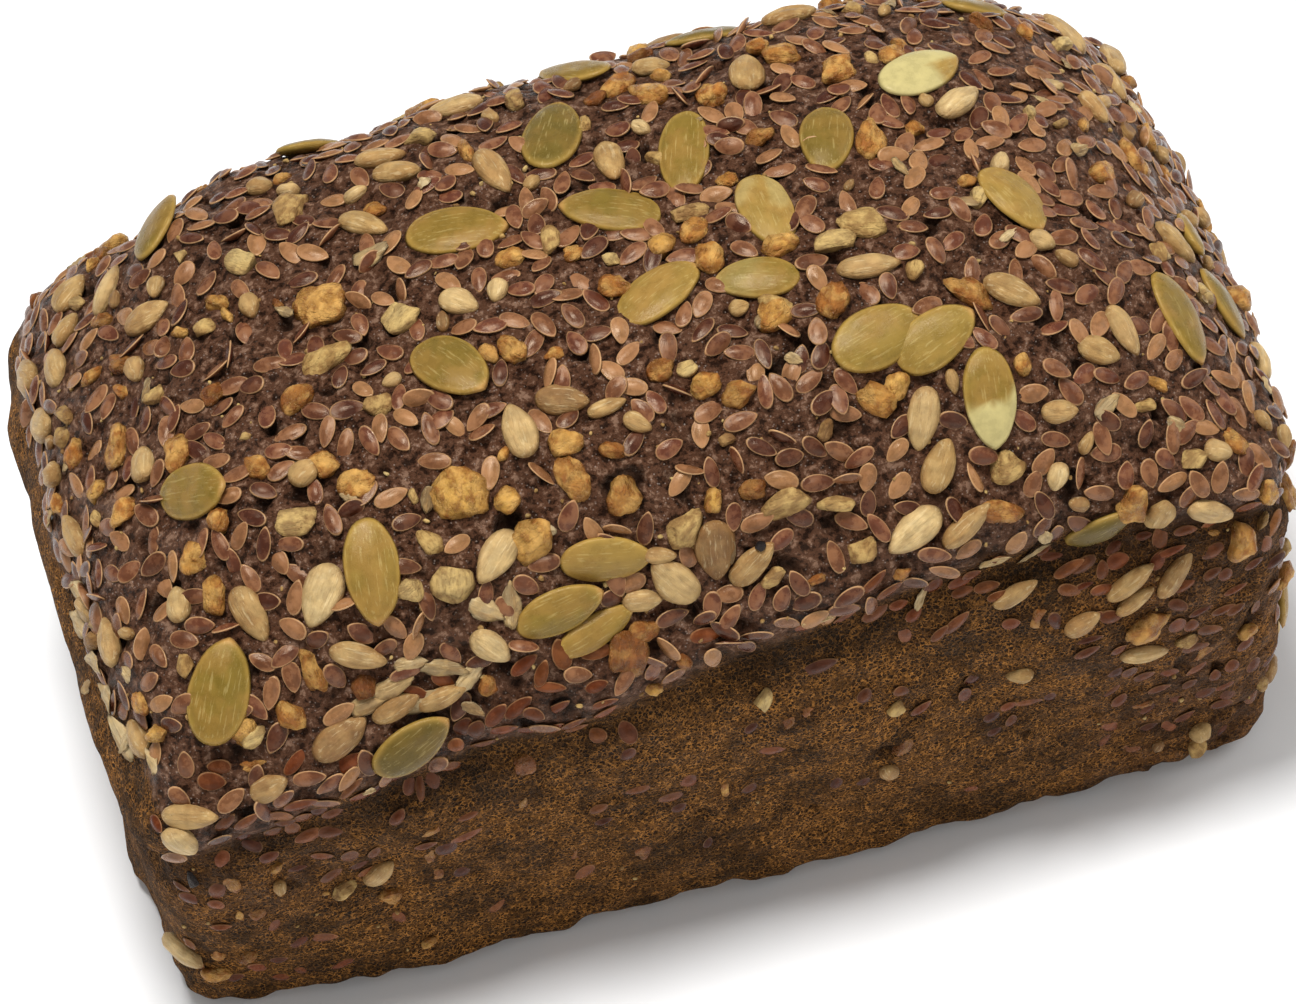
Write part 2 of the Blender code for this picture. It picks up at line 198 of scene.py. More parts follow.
# seeds that can be told apart: x in millimetres, girth and heading of the tip in degrees, length and
# width in millimetres, and tone from 0 dark to 1 pale
pumpkinPlaces = [
    (-22, 95.5, -12, 15, 8.5, 0.45), (-29, 72, -60, 14, 9, 0.35), (-4, 109, 67, 16, 8.8, 0.2),
    (13, 98, -108, 15.5, 7.6, 0.5), (0, 91, 157, 15, 8, 0.35), (33, 93, -108, 12.5, 8, 0.3),
    (21, 83, -86, 14.7, 8, 0.85), (2.5, 74.5, 24, 14.3, 8.5, 0.75), (16.5, 72.5, 165, 12.5, 6.8, 0.55),
    (30, 60, 15, 14, 9, 0.7), (38, 58, 23, 13.5, 8, 0.75), (56, 77, -62, 13, 8, 0.8),
    (50, 104, 25, 14.5, 8, 1.0), (75, 54, -77, 15, 7.5, 0.45), (43.5, 49, -96, 14.5, 7.8, 0.65),
    (56, 26, 30, 11, 6, 0.05), (-47.5, 20, 28, 13, 7.5, 0.1), (-72, 34.5, 66, 15.5, 9, 0.5),
    (-47.5, 47, -97, 15.2, 8, 0.7), (-68, 67, -30, 14.3, 8.3, 0.5), (-15, 41, -10, 13, 7.5, 0.8),
    (-23, 35.5, 13, 13.3, 7, 0.65), (-18.5, 31, 18, 12.5, 5, 0.7), (24, 127, 0, 13, 7, 0.2),
    (84.5, 57, -80, 12, 7, 0.3), (64, 127, 10, 11, 7, 0.3), (83, 76, 60, 9, 5, 0.6),
]
kernelPlaces = [
    (-67, 110, -8, 8.5, 4.6, 0.5), (-34, 104, -50, 9, 4.2, 0.55), (-27, 111, -30, 8, 4, 0.5),
    (-28.5, 116, -15, 8, 3.6, 0.45), (-14, 104, -77, 10, 4.5, 0.5), (2.5, 100.5, -94, 10, 4.6, 0.5),
    (26, 110, 80, 9, 5.5, 0.5), (36, 123, 10, 9, 4.5, 0.5), (54, 98, 36, 9.5, 4.5, 0.85),
    (75, 104, -70, 7, 4, 0.5), (79.5, 71, -50, 9, 4, 0.45), (32, 69.7, -8, 9.5, 4, 0.65),
    (51, 62, -35, 9, 4.5, 0.4), (65.5, 53.5, -78, 8.5, 4, 0.65), (61, 51.5, -30, 7, 4, 0.5),
    (33.5, 48.5, -110, 9.8, 4.8, 0.75), (34.5, 42, 57, 8.6, 4.8, 0.5), (29, 34, -154, 9.6, 5.2, 0.95),
    (36.5, 33, 34, 9.3, 3.5, 0.4), (65, 26.5, 80, 8, 4.5, 0.6), (72.5, 24.5, -40, 9, 4.2, 0.8),
    (60, 13.5, 35, 9, 3.5, 0.4), (67, 12, 50, 9, 3.5, 0.3), (60.5, 9.2, 20, 7, 3, 0.45),
    (61.5, -4.5, -15, 8, 3.2, 0.7), (42.5, 18.6, 20, 7.5, 3, 0.3), (-6, 35.5, 124, 9.6, 5.5, 0.75),
    (0.5, 38.5, -95, 10, 5.8, 0.12), (5.3, 35.5, 41, 9, 4.2, 0.35), (-33.5, 32.8, -50, 7, 4.4, 0.9),
    (-30, 44.7, -138, 9, 4.8, 0.85), (-22.4, 60, 96, 8.6, 5, 0.75), (-15.3, 62.5, -20, 8, 4.5, 0.15),
    (-55, 45.3, -127, 10.3, 5.8, 1.0), (-52, 36, -29, 8.8, 4.2, 0.65), (-57, 23.8, 27, 9.5, 5, 0.15),
    (-48.3, 26.5, 20, 8, 3.5, 0.3), (-41.7, 26.5, 15, 8, 3.2, 0.35), (-80, 15.5, -8, 8.5, 4, 0.6),
    (-82, 11, -60, 7, 4.8, 0.95), (-65, 45, -75, 9, 5, 0.4), (-85, 142, 80, 10, 6, 0.6),
    (-81, 126, 80, 8, 4.5, 0.6), (-85, 128, 95, 10, 5.5, 0.7), (-76, 138, 20, 7, 5, 0.5),
    (-54.5, -12.5, 55, 7, 3.6, 0.55), (-85, 80, 70, 9, 4, 0.6), (-84.5, 45, 60, 8.5, 4, 0.65),
    (-86, 56, 70, 7, 3.5, 0.5), (-84, 26, 80, 8, 4, 0.6), (-85.5, 106, 80, 7, 4, 0.5),
]
grainPlaces = [
    (-43.6, 91.5, -45, 9.5, 7.5, 0.6), (-32.8, 53.7, 80, 9, 7.8, 0.85), (11.5, 112, -60, 7, 4.5, 0.5),
    (38.5, 106.5, 20, 7, 5, 0.5), (39, 91.5, 75, 8, 4.5, 0.45), (45, 63, -35, 8.5, 4.5, 0.3),
    (28, 52, -43, 6.7, 4.3, 0.7), (41.8, 33.5, -15, 6.5, 4, 0.25), (61, 29, 70, 7, 5, 0.4),
    (77, 15.5, 85, 7, 5, 0.45), (62, 2, 15, 7.5, 5, 0.3), (-16.8, 52, -80, 7, 5, 0.35),
    (-24.3, 45.7, 35, 7.5, 6, 0.75), (-14.6, 26.5, 80, 7.5, 6.5, 0.1), (-58.6, 34.3, -85, 7, 3.6, 0.4),
    (-68.8, 76.4, 70, 7, 4.6, 0.35), (-76, 89, 60, 6.5, 5, 0.5),
]
chunkPlaces = [
    (-52, 106, -50, 6, 4.2, 0.9), (-43, 113.5, 50, 8, 5.5, 0.5), (33.5, 77, -20, 7, 5, 0.6),
    (28.3, 75, 0, 6.5, 5.4, 0.75), (-3.3, 42.3, 45, 6.5, 4.5, 0.65), (-36.9, 42.3, 80, 6, 5.8, 0.8),
    (11.5, 42.5, 10, 8, 4, 0.6), (-55.7, 56.5, -20, 6.5, 4.6, 0.7), (-45, 81, 30, 7.5, 6, 0.5),
    (-33.4, 83.5, 15, 6, 4.5, 0.85), (10.5, 86.5, -10, 6.5, 3, 0.3), (-9.8, 88.3, 80, 6, 3, 0.4),
]
smallKernelPlaces = [
    (14, 121, 0, 6, 4, 0.5), (53, 45, -10, 5.5, 3.5, 0.6), (75, 33, -20, 4.5, 3.5, 0.7),
    (52, 8.5, 15, 6, 3.5, 0.4), (22.5, -21, -70, 5, 3, 0.4), (-11, 33.7, -10, 6, 3.5, 0.7),
    (-9.6, 60, 5, 6, 2.5, 0.5), (-6, 57, -40, 4.5, 2.8, 0.6), (-74.2, 49, 85, 6.5, 4, 0.7),
    (-24.9, 82, -46, 6.6, 4.4, 0.8), (-78, 131, 0, 6, 5, 0.5), (-73.5, 79, 75, 6.5, 4.2, 0.7),
    (-7.3, 39.6, -15, 5, 2.6, 0.6), (-68.3, 18.3, 20, 6.2, 4, 0.3),
]
smallGrainPlaces = [
    (8, 117, 30, 6, 4, 0.4), (32, 112, -20, 6, 4, 0.4), (20, 107, 60, 5, 4.5, 0.5),
    (71.5, 84, 10, 5, 4, 0.4), (78, 33, -30, 5, 3.5, 0.5), (-16.7, 56.5, 20, 5, 4.5, 0.7),
    (-10.5, 48.5, 80, 6, 5, 0.35), (9.2, 57.3, 10, 5, 4, 0.3), (-12, 29, 10, 5.5, 3.5, 0.15),
    (-62.8, 29, -70, 5, 4, 0.6), (-69.9, 27.7, 60, 4.5, 3.6, 0.8), (-70.6, 55.8, 80, 5, 4.6, 0.7),
    (-69.2, 49, 75, 5.5, 4, 0.7), (-46.5, 59, 10, 6, 5, 0.55), (-49.8, 63.5, -60, 5, 4, 0.6),
    (-59, 66.3, -60, 4.5, 3.5, 0.4), (-50.5, 75.5, 20, 6, 5, 0.3), (-16.3, 87, 10, 5, 3.6, 0.6),
    (-3.3, 77.5, -30, 5, 4, 0.4), (11.2, 77.7, 70, 6, 4.6, 0.55), (20.7, 76.5, 0, 6, 4, 0.8),
    (-20, 71.8, -70, 5, 4, 0.4), (24, 96.5, 10, 5, 3.2, 0.25), (25.5, 66, 60, 6, 5, 0.35),
    (-82, 100, 60, 5, 4, 0.4), (-78, 71, 20, 5, 4, 0.55), (-66, 60, 60, 4.5, 3.5, 0.6),
    (17, 66.5, 30, 6, 4.5, 0.7), (10, 83, 30, 5, 4, 0.6),
]
smallChunkPlaces = [
    (-42.8, 43.5, 30, 4, 4, 0.8), (20.8, 33, 60, 5, 4, 0.35), (43.8, 39.6, 10, 5.5, 4.5, 0.45),
    (3, 62.5, 20, 3, 2.4, 0.9), (17.5, 68, -20, 5, 3, 0.5), (-69, 27, 20, 4, 3.4, 0.9),
    (-47, 52.5, 40, 4, 3, 0.8), (9, 99, 0, 3.5, 3, 0.4), (-60, 97, 30, 4, 3, 0.6),
]

# grains sunk in the walls
wallGrainPlaces = [
    (-31.5, 7, 80, 4.8, 4.2, 0.1), (24.8, -14, 80, 4.6, 3.4, 0.12), (-76, -5.5, -80, 5.2, 2.4, 0.35),
    (-73.5, -17, 70, 4, 3.6, 0.15), (-79.5, -34, 90, 4, 3, 0.5), (-2.2, -15.5, -85, 3.8, 2, 0.9),
    (71.5, -12, 45, 5.5, 2.8, 0.4), (62.3, -25.5, -5, 4.4, 2.4, 0.35), (45.5, 12, 85, 4.4, 3.6, 0.3),
    (-15.5, -26, 85, 5, 3, 0.0), (-25, -24, 85, 7, 2.6, 0.1), (-47, -10.5, 88, 5, 1.8, 0.3),
    (-46, -19, 85, 5, 2, 0.2), (-62.5, -17, 0, 1.8, 1.5, 0.6), (-32.5, -1.5, 85, 2.8, 1.5, 0.35),
    (10.5, 4.5, 0, 2.4, 2.4, 0.2), (13.5, 30.5, 10, 3.4, 1.8, 0.3), (-70, 22, 10, 4, 1.8, 0.5),
    (-46.5, -1.5, 38, 5, 2, 0.4), (73.3, 18, 0, 3, 2, 0.5), (-75.6, -17, -80, 3, 1.3, 0.9),
    (22.7, -23.5, -75, 6.4, 1.9, 0.55), (7.5, 3, 70, 3, 2, 0.05),
]
# flax in the front wall and round its corners
wallFlaxPlaces = [
    (-84, 26, -35, 4.5, 2.6, 0.5), (-74.5, 22.5, 170, 3.6, 2.5, 0.3), (-76, 20.5, -20, 4.2, 2.8, 0.35),
    (-56.8, 19.5, 25, 5, 2.4, 0.5), (-64, 21.5, 40, 5, 2, 0.4), (-64.5, 14, 5, 5.2, 2.6, 0.6),
    (-55.5, 12, 30, 4.2, 3, 0.5), (-57, 15, 45, 5, 1.6, 0.7), (-53.5, 12, 60, 4, 2.5, 0.1),
    (-84.7, 14, -60, 3.4, 2, 0.35), (-75.5, 13, 50, 4.6, 2, 0.35), (-72.5, 12.5, 40, 5, 2, 0.55),
    (-67.8, 12, -40, 5.2, 2.4, 0.9), (-66.8, 9, -20, 4, 2, 0.3), (-64.3, 9, 90, 3.6, 3, 0.45),
    (-62, 9.5, 45, 3, 3, 0.1), (-66, 6, 95, 3.8, 2.4, 0.5), (-68.7, 6, -60, 3.6, 2.8, 0.35),
    (-73, 6.5, -70, 4, 3, 0.2), (-83, -7, -30, 3, 1.5, 0.4), (-78.7, -11, -50, 3, 2.2, 0.8),
    (-78.5, -19, 0, 3.2, 1.4, 0.6), (-62.5, -3, -20, 3.6, 2, 0.5), (-58.5, -4.5, 80, 3.8, 2.8, 0.35),
    (-66, -6.5, 0, 3.6, 1.5, 0.15), (-55, -4.5, 70, 3.6, 1.8, 0.35), (-61.5, -11, 40, 4.4, 2.4, 0.4),
    (-57.3, -9.5, 45, 4.4, 1.7, 0.1), (-56.5, -12, 45, 3.4, 1.2, 0.9), (-83, -31, -60, 3, 1.5, 0.6),
    (-82.5, -38, -60, 4, 2, 0.35), (-77.5, -40, 30, 3, 2, 0.15), (-51, 5, 55, 3.6, 2, 0.3),
    (-48.5, 10, 80, 4, 2, 0.25), (-47, 9, 85, 5, 1.4, 0.4), (-45, 9.5, 100, 5, 2.5, 0.2),
    (-47.5, -5.5, 30, 4, 1.8, 0.35), (-44.5, -8, 60, 4, 3.4, 0.1), (-42.5, -19, 80, 3.5, 2.6, 0.05),
    (-41, 29, -50, 4.5, 2.2, 0.5), (-45, 28, -35, 4.6, 2, 0.45), (-39.5, 20.5, 60, 3.6, 3, 0.15),
    (-37.8, 20, 70, 3.6, 2.6, 0.25), (-41, 17.5, -60, 3, 2.4, 0.85), (-36.7, 15.5, -10, 4.6, 1.8, 0.35),
    (-42, 11.5, -40, 5, 2, 0.55), (-34.7, 22, 50, 5, 2.4, 0.35), (-31.5, 22.5, 30, 5, 2.4, 0.3),
    (-34, 18.5, 25, 4.6, 2.6, 0.55), (-29.5, 21, -40, 3.6, 2.4, 0.25), (-26.5, 24.5, -20, 4.8, 1.8, 0.65),
    (-26.2, 20, 30, 4.8, 2, 0.35), (-27.3, 27, 65, 4.4, 2, 0.5), (-24, 29, 95, 5, 3, 0.5),
    (-29.5, 29, 35, 5, 2.2, 0.45), (-19, 28, -5, 5, 2.6, 0.5), (-16, 27, -30, 4, 1.8, 0.45),
    (-20, 23, 10, 3.5, 2, 0.35), (-19.3, 19.5, 20, 4.4, 1.8, 0.45), (-24, 16.5, 35, 4.6, 2, 0.5),
    (-23.5, 14, 0, 3.8, 1.4, 0.75), (-20.5, 11, 120, 3, 2.6, 0.6), (-16.5, 5.5, 60, 2.8, 2.6, 0.15),
    (-21.5, -9, 20, 3, 2, 0.5), (-21, -13, 10, 3, 1.6, 0.1), (-9.5, -15.5, 40, 2.6, 2.2, 0.1),
    (1.5, -17.5, 60, 3.2, 2.4, 0.15), (-3, 26, 0, 5, 2.6, 0.75), (17.7, 22.5, 20, 4.8, 1.8, 0.5),
    (22, 21, 30, 4.6, 2.4, 0.4), (22, 28, 35, 4.8, 2, 0.5), (24, 26, 35, 4.8, 2, 0.45),
    (25.5, 21.5, 0, 3, 2, 0.7), (27.5, 19, 40, 3, 2, 0.45), (31, 23.5, 60, 3.6, 3, 0.25),
    (35, 23, 25, 4.4, 2.4, 0.5), (38.5, 21, 0, 4, 2, 0.5), (33.5, 15.5, 45, 5.6, 2, 0.45),
    (31, 14, 50, 4, 1.6, 0.35), (13, 13.5, 15, 5.5, 2.6, 0.1), (19, 4.5, 70, 3, 2.4, 0.25),
    (24.5, 3, -30, 2.8, 2, 0.4), (34.3, -4, 95, 4, 2.2, 0.28), (27.5, -4, 40, 4, 2, 0.3),
    (14.5, -21.5, 80, 3, 2, 0.05), (18.7, -23.5, 60, 2.6, 2.2, 0.05), (-5.5, -29, 80, 2.8, 1.6, 0.0),
    (38.5, -14, 30, 2.8, 2.4, 0.0), (41, -12, 20, 2.6, 2, 0.5), (2, 3.5, 30, 2.6, 2, 0.1),
    (36.5, 24, 20, 3, 2.2, 0.4), (35, 21, 10, 3.5, 1.8, 0.5), (40.5, 26, 0, 2.8, 1.5, 0.4),
    (40, 19, 10, 3.6, 1.6, 0.6), (51, 19.8, 15, 5.2, 2, 0.7), (50.5, 16, -35, 4.2, 2, 0.55),
    (53, 15.5, -5, 4, 1.3, 0.2), (56, 17.5, 85, 3.6, 2, 0.4), (55.8, 13.5, -15, 4.4, 2, 0.55),
    (58.5, 18, -10, 3.8, 3, 0.65), (64.5, 16, 60, 3.5, 2.4, 0.35), (66.5, 17, 10, 5, 1.6, 0.6),
    (63, 21, 0, 2.6, 1.5, 0.3), (58.5, 20.5, 25, 3.6, 2, 0.15), (48, 24, 10, 3, 1.6, 0.35),
    (49, 22.5, -10, 4, 1.5, 0.2), (69, 20.5, -10, 3.8, 2, 0.5), (78.5, 22.5, 10, 4, 2.4, 0.6),
    (41.5, 12.5, 0, 2.8, 2.6, 0.45), (48, 10.8, -80, 4, 2, 0.15), (53.5, 8.5, 10, 4, 2, 0.3),
    (56.5, 7.5, -20, 3.8, 2.4, 0.35), (68.5, 8.5, 20, 4, 1.8, 0.5), (66.8, 0, 90, 3.6, 3, 0.4),
    (69, -1.5, 90, 3.2, 2.4, 0.45), (72, -5, -10, 4, 2.6, 0.45), (57.5, -1, 40, 2.8, 2.2, 0.3),
    (52.5, 1.5, 15, 4.2, 2, 0.35), (53, 4, 5, 4.4, 1.4, 0.2), (59.5, -10, 80, 3.4, 2.6, 0.3),
    (57.5, -9.5, 60, 3, 2.6, 0.1), (58.3, -20, 60, 3.4, 2.4, 0.3), (64.5, -20, 20, 3.8, 2, 0.4),
    (69.5, -22, 50, 3, 2, 0.3), (76, -20, 90, 3.2, 2.4, 0.45), (73.5, -22, 90, 3, 2, 0.35),
    (63.2, -27.5, 10, 3.6, 2.2, 0.2), (72, -27, 30, 4, 3, 0.2), (63.5, -33, 10, 3, 1.8, 0.15),
    (41.5, -17, 80, 2.8, 2, 0.3), (39, -19, 20, 2.8, 2, 0.05), (47.5, -13, 80, 3, 2, 0.15),
    (74.5, 9, 80, 3, 2.2, 0.4), (72.5, 10, 30, 3.2, 2, 0.3), (79, 9, 20, 3.2, 2, 0.25),
    (74, 0, 5, 4, 1.7, 0.4), (76, -1, 30, 3.2, 2, 0.35), (70.5, 1.5, 10, 4, 1.6, 0.2),
    (76, 4, 10, 4, 1.4, 0.4), (67, 5, -40, 3.6, 2.2, 0.3), (62, -14, 30, 3.6, 2.4, 0.3),
    (66, -16, -30, 3.8, 2.2, 0.35), (69, -33, 20, 3.6, 2.2, 0.3), (75, -33, -10, 3.8, 2.4, 0.3),
    (78, -14, 60, 4, 2.2, 0.35), (80, -25, 80, 4, 2.4, 0.3), (-60, 8, 20, 3.6, 2.4, 0.3),
    (-70, 0, 30, 3.4, 2.2, 0.3), (-71, -34, 10, 2.8, 2, 0.2), (-83, 2, 80, 3.4, 1.8, 0.3),
]
# thin pale husks
huskPlaces = [
    (-43.5, 26.5, 12, 9, 3.2, 0.7), (-40.5, 31, -20, 7, 3, 0.6), (-37, 29, 40, 6, 2.6, 0.8),
    (13, 24.5, -5, 5, 1.4, 0.7), (29, 22, 60, 5, 1.6, 0.8), (-48, 30, 20, 7, 3, 0.5),
    (-52, 28, 10, 6, 3, 0.4), (-33, 38, -40, 6, 3.4, 0.7), (-29.5, 38, 80, 7, 3, 0.6),
    (-45, 33, 0, 5, 2.4, 0.7), (40, 26, 20, 5, 1.6, 0.6), (46, 25, 30, 6, 1.4, 0.6),
    (-86, 24, 70, 8, 3.4, 0.9), (-87, 40, 80, 8, 3.6, 0.9), (-86.5, 32, 95, 7, 3.4, 0.8),
    (-87, 52, 85, 8, 4, 0.9), (-86, 62, 75, 7, 4, 0.8), (-34.5, 96.5, 10, 6, 4, 0.6),
    (60, 44, 30, 5, 2.6, 0.7), (70, 38, -30, 5, 2.4, 0.6),
]
# gaps and pits dented into the crust, with painted shade in them: x, girth, then radius and depth in
# millimetres
pitPlaces = [
    (-43.5, 22.5, 2.4, 2.6), (21.8, -14.5, 1.7, 2.4), (11, -29.5, 0.9, 1.2), (44, -23, 0.9, 1.2),
    (-19, -6.5, 0.9, 1.0), (-6, -20.5, 1.1, 1.2), (26.5, -6.5, 1.1, 0.9), (35, -1, 1.2, 1.2),
    (62, 25, 2.0, 1.4), (2.8, 33.5, 1.3, 2.0), (-38, 24.5, 1.8, 1.6), (25, 14, 1.5, 0.9),
    (-40, -21, 1.2, 0.9), (-83, 30, 1.6, 1.4), (48, 26, 1.8, 1.0), (70, 23.5, 2.2, 1.2),
    (8, 32, 1.6, 1.2), (-11, 26, 1.4, 1.2), (-31, 26, 1.2, 1.2), (38, 28, 1.6, 1.0),
]

# the scattered seeds: the first of them are those of the solid, the rest fill in between
farKinds = [
    ("pumpkin", 12, 15 * mm, (14, 8)),
    ("kernel", 24, 10 * mm, (9, 4.5)),
    ("grain", 18, 9 * mm, (6.5, 5)),
]
flaxForm = {
    "solidCount": 64, "solidSpacing": 7 * mm,
    "length": 4.8, "width": 2.6, "thickness": 1.25, "stand": 0.3, "wallSink": 0.4, "tilt": 11,
    "perArea": 0.2, "spacing": 2.95 * mm, "seed": 5,              # tries for each square millimetre
    "lipBand": 0.4, "lipBandHeight": 6 * mm, "namedEnd": 84 * mm, "namedShare": 0.2,   # under the lip
    "edgeOn": 0.1, "edgeLift": 0.35, "edgeRoll": (35, 65),        # some stand on edge
    "shingle": 3.3 * mm, "shingleLift": 0.8, "shingleTilt": 14,   # near ones overlap like tiles
    "wallTone": 0.8, "namedTone": 0.75, "darkTone": 0.22, "darkStand": -0.12, "paleStand": 0.15,
    "reliefRange": (-0.7, 1.0), "frontWall": 30 * mm, "endGap": 1 * mm,
    "patchSize": 14 * mm, "patchGain": 2.2, "patchLevel": 0.55,
}
closeFlax = {"perArea": 0.022, "spacing": 2.0 * mm, "seed": 6}   # a few more, overlapping the others
looseForm = {"perArea": 0.012, "spacing": 6.5 * mm, "seed": 3, "gap": 1.6 * mm, "size": (2.4, 5.0)}


def seatScattered(taken):
    # the same throw of seeds as in the solid, so that each lies over its own
    chance = np.random.RandomState(seeding["firstSeed"])
    tries = seeding["firstTries"]
    points, normals = scatteredSpots(chance, tries)
    share = seededShare(points)
    headings = chance.uniform(-math.pi, math.pi, tries)
    rolls = chance.uniform(0, 1, tries)
    girth = np.degrees(np.arctan2(points[:, 2] - loafForm["axisHeight"], -points[:, 1])) % 360
    hidden = ((girth > seeding["farGirth"]) & (girth < 270)) | (np.abs(normals[:, 0]) > seeding["endTilt"])
    allowed = rolls < share
    seats = {"pumpkin": [], "kernel": [], "grain": [], "flax": []}
    plans = [(name, wanted, spacing, allowed & hidden) for name, wanted, spacing, size in farKinds]
    plans.append(("flax", flaxForm["solidCount"], flaxForm["solidSpacing"], allowed))
    turn = 0
    for name, wanted, spacing, openSpots in plans:
        while len(seats[name]) < wanted and turn < tries:
            here = points[turn]
            if openSpots[turn] and min(np.linalg.norm(here - other) for other in taken) > spacing:
                seats[name].append((here, normals[turn], headings[turn]))
                taken.append(here)
            turn += 1
    return seats


def namedSeats(places):
    points, normals = girthSpots(places)
    return [(points[i], normals[i], math.radians(place[2])) for i, place in enumerate(places)]


bigSeats = {
    "pumpkin": namedSeats(pumpkinPlaces), "kernel": namedSeats(kernelPlaces),
    "grain": namedSeats(grainPlaces), "chunk": namedSeats(chunkPlaces),
}
taken = [seat[0] for name in ("pumpkin", "kernel", "grain", "chunk") for seat in bigSeats[name]]
farSeats = seatScattered(taken)
print("seats of the solid's seeds found")


# mesh helpers
def boxLattice(counts):
    # the faces of a box cut into cells, as corners of whole numbers
    counts = np.array(counts)
    sheets = []
    for axis in range(3):
        p, q = (axis + 1) % 3, (axis + 2) % 3
        a, b = np.meshgrid(np.arange(counts[p]), np.arange(counts[q]), indexing="ij")
        for side in (0, 1):
            turns = ((0, 0), (1, 0), (1, 1), (0, 1))
            corners = []
            for stepA, stepB in turns if side else turns[::-1]:
                cell = np.zeros(a.shape + (3,), int)
                cell[..., axis] = side * counts[axis]
                cell[..., p] = a + stepA
                cell[..., q] = b + stepB
                corners.append(cell.reshape(-1, 3))
            sheets.append(np.stack(corners, 1))
    return np.concatenate(sheets)


def newPiece(name, verts, faces, attributes=None, vectors=None):
    mesh = bpy.data.meshes.new(name)
    mesh.from_pydata(np.asarray(verts).tolist(), [], faces)
    for key, values in (attributes or {}).items():
        mesh.attributes.new(key, "FLOAT", "POINT").data.foreach_set("value", np.asarray(values, np.float32))
    for key, values in (vectors or {}).items():
        layer = mesh.attributes.new(key, "FLOAT_VECTOR", "POINT")
        layer.data.foreach_set("vector", np.asarray(values, np.float32).ravel())
    mesh.polygons.foreach_set("use_smooth", [True] * len(mesh.polygons))
    mesh.update()
    piece = bpy.data.objects.new(name, mesh)
    scene.collection.objects.link(piece)
    return piece


def softStep(values, low, high):
    t = np.clip((values - low) / (high - low), 0, 1)
    return t * t * (3 - 2 * t)


def noiseAt(points, size, shift=0.0):
    # lumps of a size, from about -1 to 1; each use has a shift of its own, so that no two match
    return np.array([noise.noise(Vector(p)) for p in (points / size + shift).tolist()])


# the crust, with its crags between the seeds
crustForm = {
    "cells": (200, 120, 84), "underBorder": (20, 14),
    "crag": 0.55 * mm, "cragSize": 3.0 * mm,
    "crumb": 0.34 * mm, "crumbSize": 1.5 * mm,
    "ridge": 0.5 * mm, "ridgeSize": 5.5 * mm, "raised": 0.6, "wallTone": 0.6,
    "wallRoughness": 0.16 * mm, "wallSize": 2.4 * mm,
    "hole": 1.2 * mm, "holeSize": 4.4 * mm,
    "footLump": 1.5 * mm, "footSize": 6.5 * mm, "footHeight": 9 * mm,
    "lipFade": 3 * mm, "rideUp": 4 * mm, "rideSize": 13 * mm,
    "bareFade": 2 * mm, "leftRise": (22 * mm, 38 * mm), "leftShare": 0.6,
    "clumpSize": 9 * mm, "clumpRange": (-0.25, 0.2), "patchRough": 0.35, "clumpRough": 0.5,
    "holeRange": (0.36, 0.55), "hollowShadeRange": (0.15 * mm, 1.1 * mm),
    "shadeStart": (-1 * mm, 2 * mm), "shadeEnd": (3 * mm, 15 * mm),
    "baseGap": 0.001 * mm, "boxGap": 0.01 * mm, "baseFade": 1.2 * mm,
}


def crustShell():
    # the crust before its relief; the flat underside is one face inside a border
    c = crustForm
    quads = boxLattice(c["cells"])
    lows, highs = np.array(c["underBorder"]), np.array(c["cells"][:2]) - c["underBorder"]
    middles = quads.mean(axis=1)
    within = np.all((middles[:, :2] > lows) & (middles[:, :2] < highs), axis=1)
    quads = quads[~(within & (quads[:, :, 2].max(axis=1) == 0))]
    cells, faces = np.unique(quads.reshape(-1, 3), axis=0, return_inverse=True)
    faces = faces.reshape(-1, 4).tolist()
    places = {tuple(cell): number for number, cell in enumerate(cells.tolist()) if cell[2] == 0}
    (west, south), (east, north) = lows, highs
    around = [(x, south) for x in range(west, east)] + [(east, y) for y in range(south, north)]
    around += [(x, north) for x in range(east, west, -1)] + [(west, y) for y in range(north, south, -1)]
    faces.append([places[(int(x), int(y), 0)] for x, y in around][::-1])
    block = (cells / c["cells"] - [0.5, 0.5, 0]) * [
        loafForm["baseLength"], loafForm["baseWidth"], loafForm["blankHeight"]]
    heart = np.array([0, 0, loafForm["axisHeight"]])
    points = reach(np.tile(heart, (len(block), 1)), unit(block - heart))
    onBase = points[:, 2] < c["baseGap"]
    points[onBase, 2] = 0
    return points, faces, onBase


def seededZones(points):
    # how much of the seeded top's rough dough shows at each point, from 0 on bare wall to 1 on the dome
    c = crustForm
    x, y, z = points.T
    wander = c["rideUp"] * noiseAt(points, c["rideSize"], 5.0)
    top = softStep(z - lipLine(x, y) + wander, -c["lipFade"], c["lipFade"])
    bare = softStep(-x, seeding["leftEnd"] - c["bareFade"], seeding["leftEnd"]) * softStep(
        -z, -seeding["leftBareTop"] - c["bareFade"], -seeding["leftBareTop"] + c["bareFade"])
    top = top * (1 - bare)
    patch = np.clip((x - seeding["rightStart"]) / seeding["patchFade"], 0, 1) * seeding["rightShare"]
    leftPatch = np.clip((-x - seeding["leftStart"]) / seeding["patchFade"], 0, 1) * (x > -seeding["leftEnd"])
    leftPatch = leftPatch * softStep(z, *c["leftRise"]) * c["leftShare"]
    patch = np.maximum(patch, leftPatch)
    clumps = softStep(noiseAt(points, c["clumpSize"], 40.0), *c["clumpRange"])
    return np.clip(top + patch * (c["patchRough"] + c["clumpRough"] * clumps), 0, 1)


